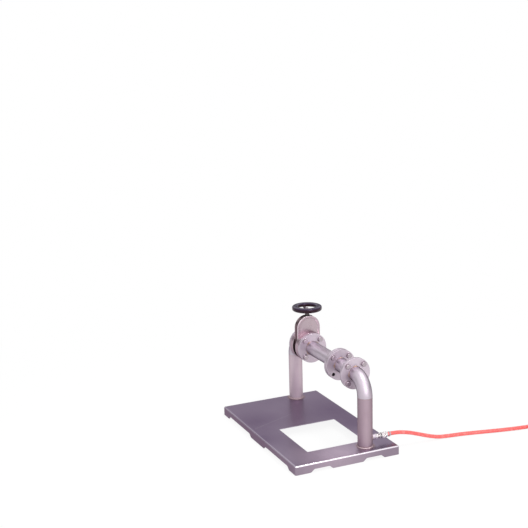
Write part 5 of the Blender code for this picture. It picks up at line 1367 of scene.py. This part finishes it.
CLAMP_LOW, CLAMP_HIGH = 0.1065, 0.1135
clamp_band = turn(band(0.0083, 0.0091, CLAMP_LOW, CLAMP_HIGH), INLET, "+Y", 0.0002)
t = np.linspace(0, 1, 9)
ear_side = np.stack([-0.0030 + 0.0012 * smooth_step(t), -0.0086 - 0.0027 * t], axis=1)
ear_outline = np.concatenate([ear_side, (ear_side * (-1, 1))[::-1]])
ear_middle = ear_outline.mean(axis=0)
ear_rows = [(0.0, CLAMP_LOW), (0.93, CLAMP_LOW), (1.0, CLAMP_LOW + 0.0002),
            (1.0, CLAMP_HIGH - 0.0002), (0.93, CLAMP_HIGH), (0.0, CLAMP_HIGH)]
ear = np.stack([np.insert(ear_middle + s * (ear_outline - ear_middle), 1, y, axis=1) for s, y in ear_rows])
clamp = make_piece("ear_clamp", clamp_band, (ear + np.array(INLET), False, True), sharp=35)
settle(clamp, "bolt_steel", BOLT_STEEL, "hose_clamp")

END = (0.372, 0.0, 0.0113)
FERRULE_LOW, FERRULE_HIGH, CRIMP_DEPTH, CRIMP_SPACING = 1.0756, 1.0996, 0.0006, 0.0048
BRASS = plain_finish("brass", (0.62, 0.42, 0.17), (0.80, 0.58, 0.28), 0.14, 1.0, 120.0)
crimps = np.linspace(FERRULE_LOW, FERRULE_HIGH, 61)[1:-1, None]
raised = smooth_step((np.abs(np.mod((crimps - 1.0790) / CRIMP_SPACING, 1.0) - 0.5) - 0.18) / 0.12)
wall = 0.0092 - CRIMP_DEPTH * (1 - raised) * ((crimps > 1.078) & (crimps < 1.0975))
ferrule_rows = join_rows(64, [(0.0056, FERRULE_LOW), (0.0086, FERRULE_LOW)], (wall, crimps),
                         [(0.0088, FERRULE_HIGH), (0.0056, FERRULE_HIGH)])
ferrule = make_piece("crimped_ferrule", spin(*ferrule_rows, END, "+Y"), sharp=40)
hexagon = tuple(grid[1:] for grid in hexagon_rows(0.022, 1.0999, 1.1199, 0.0086))
nut_rows = join_rows(HEX_STEPS, [(0.0056, 1.0999)], hexagon, [(0.0086, 1.1029), (0.0056, 1.1029)])
end_nut = make_piece("union_nut_hex", spin(*nut_rows, END, "+Y"), sharp=24)
nipple_outline = [(0.0026, 1.0776), (0.0052, 1.0776), (0.0052, 1.1032), (0.0082, 1.1032), (0.0082, 1.1053),
                  (0.0042, 1.1102), (0.0026, 1.1102)]
nipple = make_piece("cone_nipple", turn(nipple_outline, END, "+Y", 0.0002, 64))
for piece, node in ((ferrule, "hose_end_ferrule"), (end_nut, "hose_end_nut"), (nipple, "hose_end_nipple")):
    settle(piece, "brass", BRASS, node)
print("hose ends made")

# %% [markdown]
# ## Floor and light
# The floor is pale and keeps the object's soft shadow. What the camera sees of it, and what metal mirrors of
# it, is mostly a plain white of strength 1. The sky is white at the horizon, like a low backdrop, dark in a
# band just above it, and bright overhead, with a soft bright side behind the camera. The dark band is what
# the mirror-like sheet shows between the stands' mirror images. A small lamp overhead gives crisp highlights,
# and a wide one beside the camera lights the object evenly.

# %% Floor
floor_mesh = bpy.data.meshes.new("studio_floor")
FLOOR_HALF = 30.0
corners = [(x * FLOOR_HALF, y * FLOOR_HALF, 0) for x, y in ((-1, -1), (1, -1), (1, 1), (-1, 1))]
floor_mesh.from_pydata(corners, [], [(0, 1, 2, 3)])
floor = add_object("studio_floor", floor_mesh)


def seen_directly(finish):
    """1 for rays from the camera, from glossy surfaces and through clear ones."""
    rays = finish.node("LightPath")
    kinds = ("Is Camera Ray", "Is Glossy Ray", "Is Transmission Ray")
    return functools.reduce(Field.larger, (Field(finish, rays.outputs[kind]) for kind in kinds))


SHADOW_SHARE, SHADOW_REACH = 0.12, 1.4
ground = Finish("pale_floor", Roughness=0.9, Specular_IOR_Level=0.0)
ground.shader.inputs["Base Color"].default_value = (0.80, 0.80, 0.80, 1)
white = ground.node("Emission", (1, 1, 1, 1), 1.0)
ground_x, ground_y = ground.offsets()[:2]
from_middle = (ground_x**2 + ground_y**2) ** 0.5
lit_share = SHADOW_SHARE * (1.0 - from_middle.above(SHADOW_REACH, SHADOW_REACH))
unlit_share = seen_directly(ground) * (1.0 - lit_share)
mixed = ground.node("MixShader", unlit_share, ground.shader.outputs[0], white.outputs[0])
ground.feed(ground.tree.nodes["Material Output"].inputs["Surface"], mixed.outputs[0])
floor_mesh.materials.append(ground.material)
print("floor made")

# %% Sky and lamps
SKY_STRENGTH = 1.2
SKY_LEVELS = {0.0: 1.0, 0.04: 1.0, 0.10: 0.22, 0.24: 0.20, 0.34: 0.85, 0.45: 1.2, 0.80: 1.1, 1.0: 1.1}
SOFT_SIDE, SOFT_SIDE_LEVEL = (0.917, -0.399, 0.0), 1.3

world = bpy.context.scene.world = bpy.data.worlds.new("studio")
sky = Nodes(world)
direction = sky.node("TexCoord").outputs["Generated"]
levels = [(place, (level / SKY_STRENGTH,) * 3) for place, level in SKY_LEVELS.items()]
by_height = sky.ramp(sky.parts(direction)[2], levels)
behind_camera = sky.measure("DOT_PRODUCT", direction, SOFT_SIDE)
smooth = {"interpolation_type": "SMOOTHSTEP"}
share = sky.node("MapRange", behind_camera, settings=smooth, From_Min=0.0, From_Max=0.7).outputs[0]
background = sky.tree.nodes["Background"]
sky_colour = sky.blend(share, by_height, (SOFT_SIDE_LEVEL / SKY_STRENGTH,) * 3)
sky.feed(background.inputs["Color"], sky_colour)
background.inputs["Strength"].default_value = SKY_STRENGTH

LAMPS = {
    "overhead": ((0.8, 0.5, 2.6), (0.0, 0.0, 0.2), 0.6, 22.0),
    "camera_side": ((3.4, 0.0, 1.7), (0.0, 0.0, 0.25), 2.6, 38.0),
}
for name, (place, aim, size, power) in LAMPS.items():
    lamp = bpy.data.lights.new(name, "AREA")
    lamp.size, lamp.energy = size, power
    holder = add_object(name, lamp)
    holder.location = place
    holder.rotation_euler = (Vector(place) - Vector(aim)).to_track_quat("Z", "Y").to_euler()
bpy.context.scene.view_settings.view_transform = "Standard"
print("lamps:", ", ".join(LAMPS))
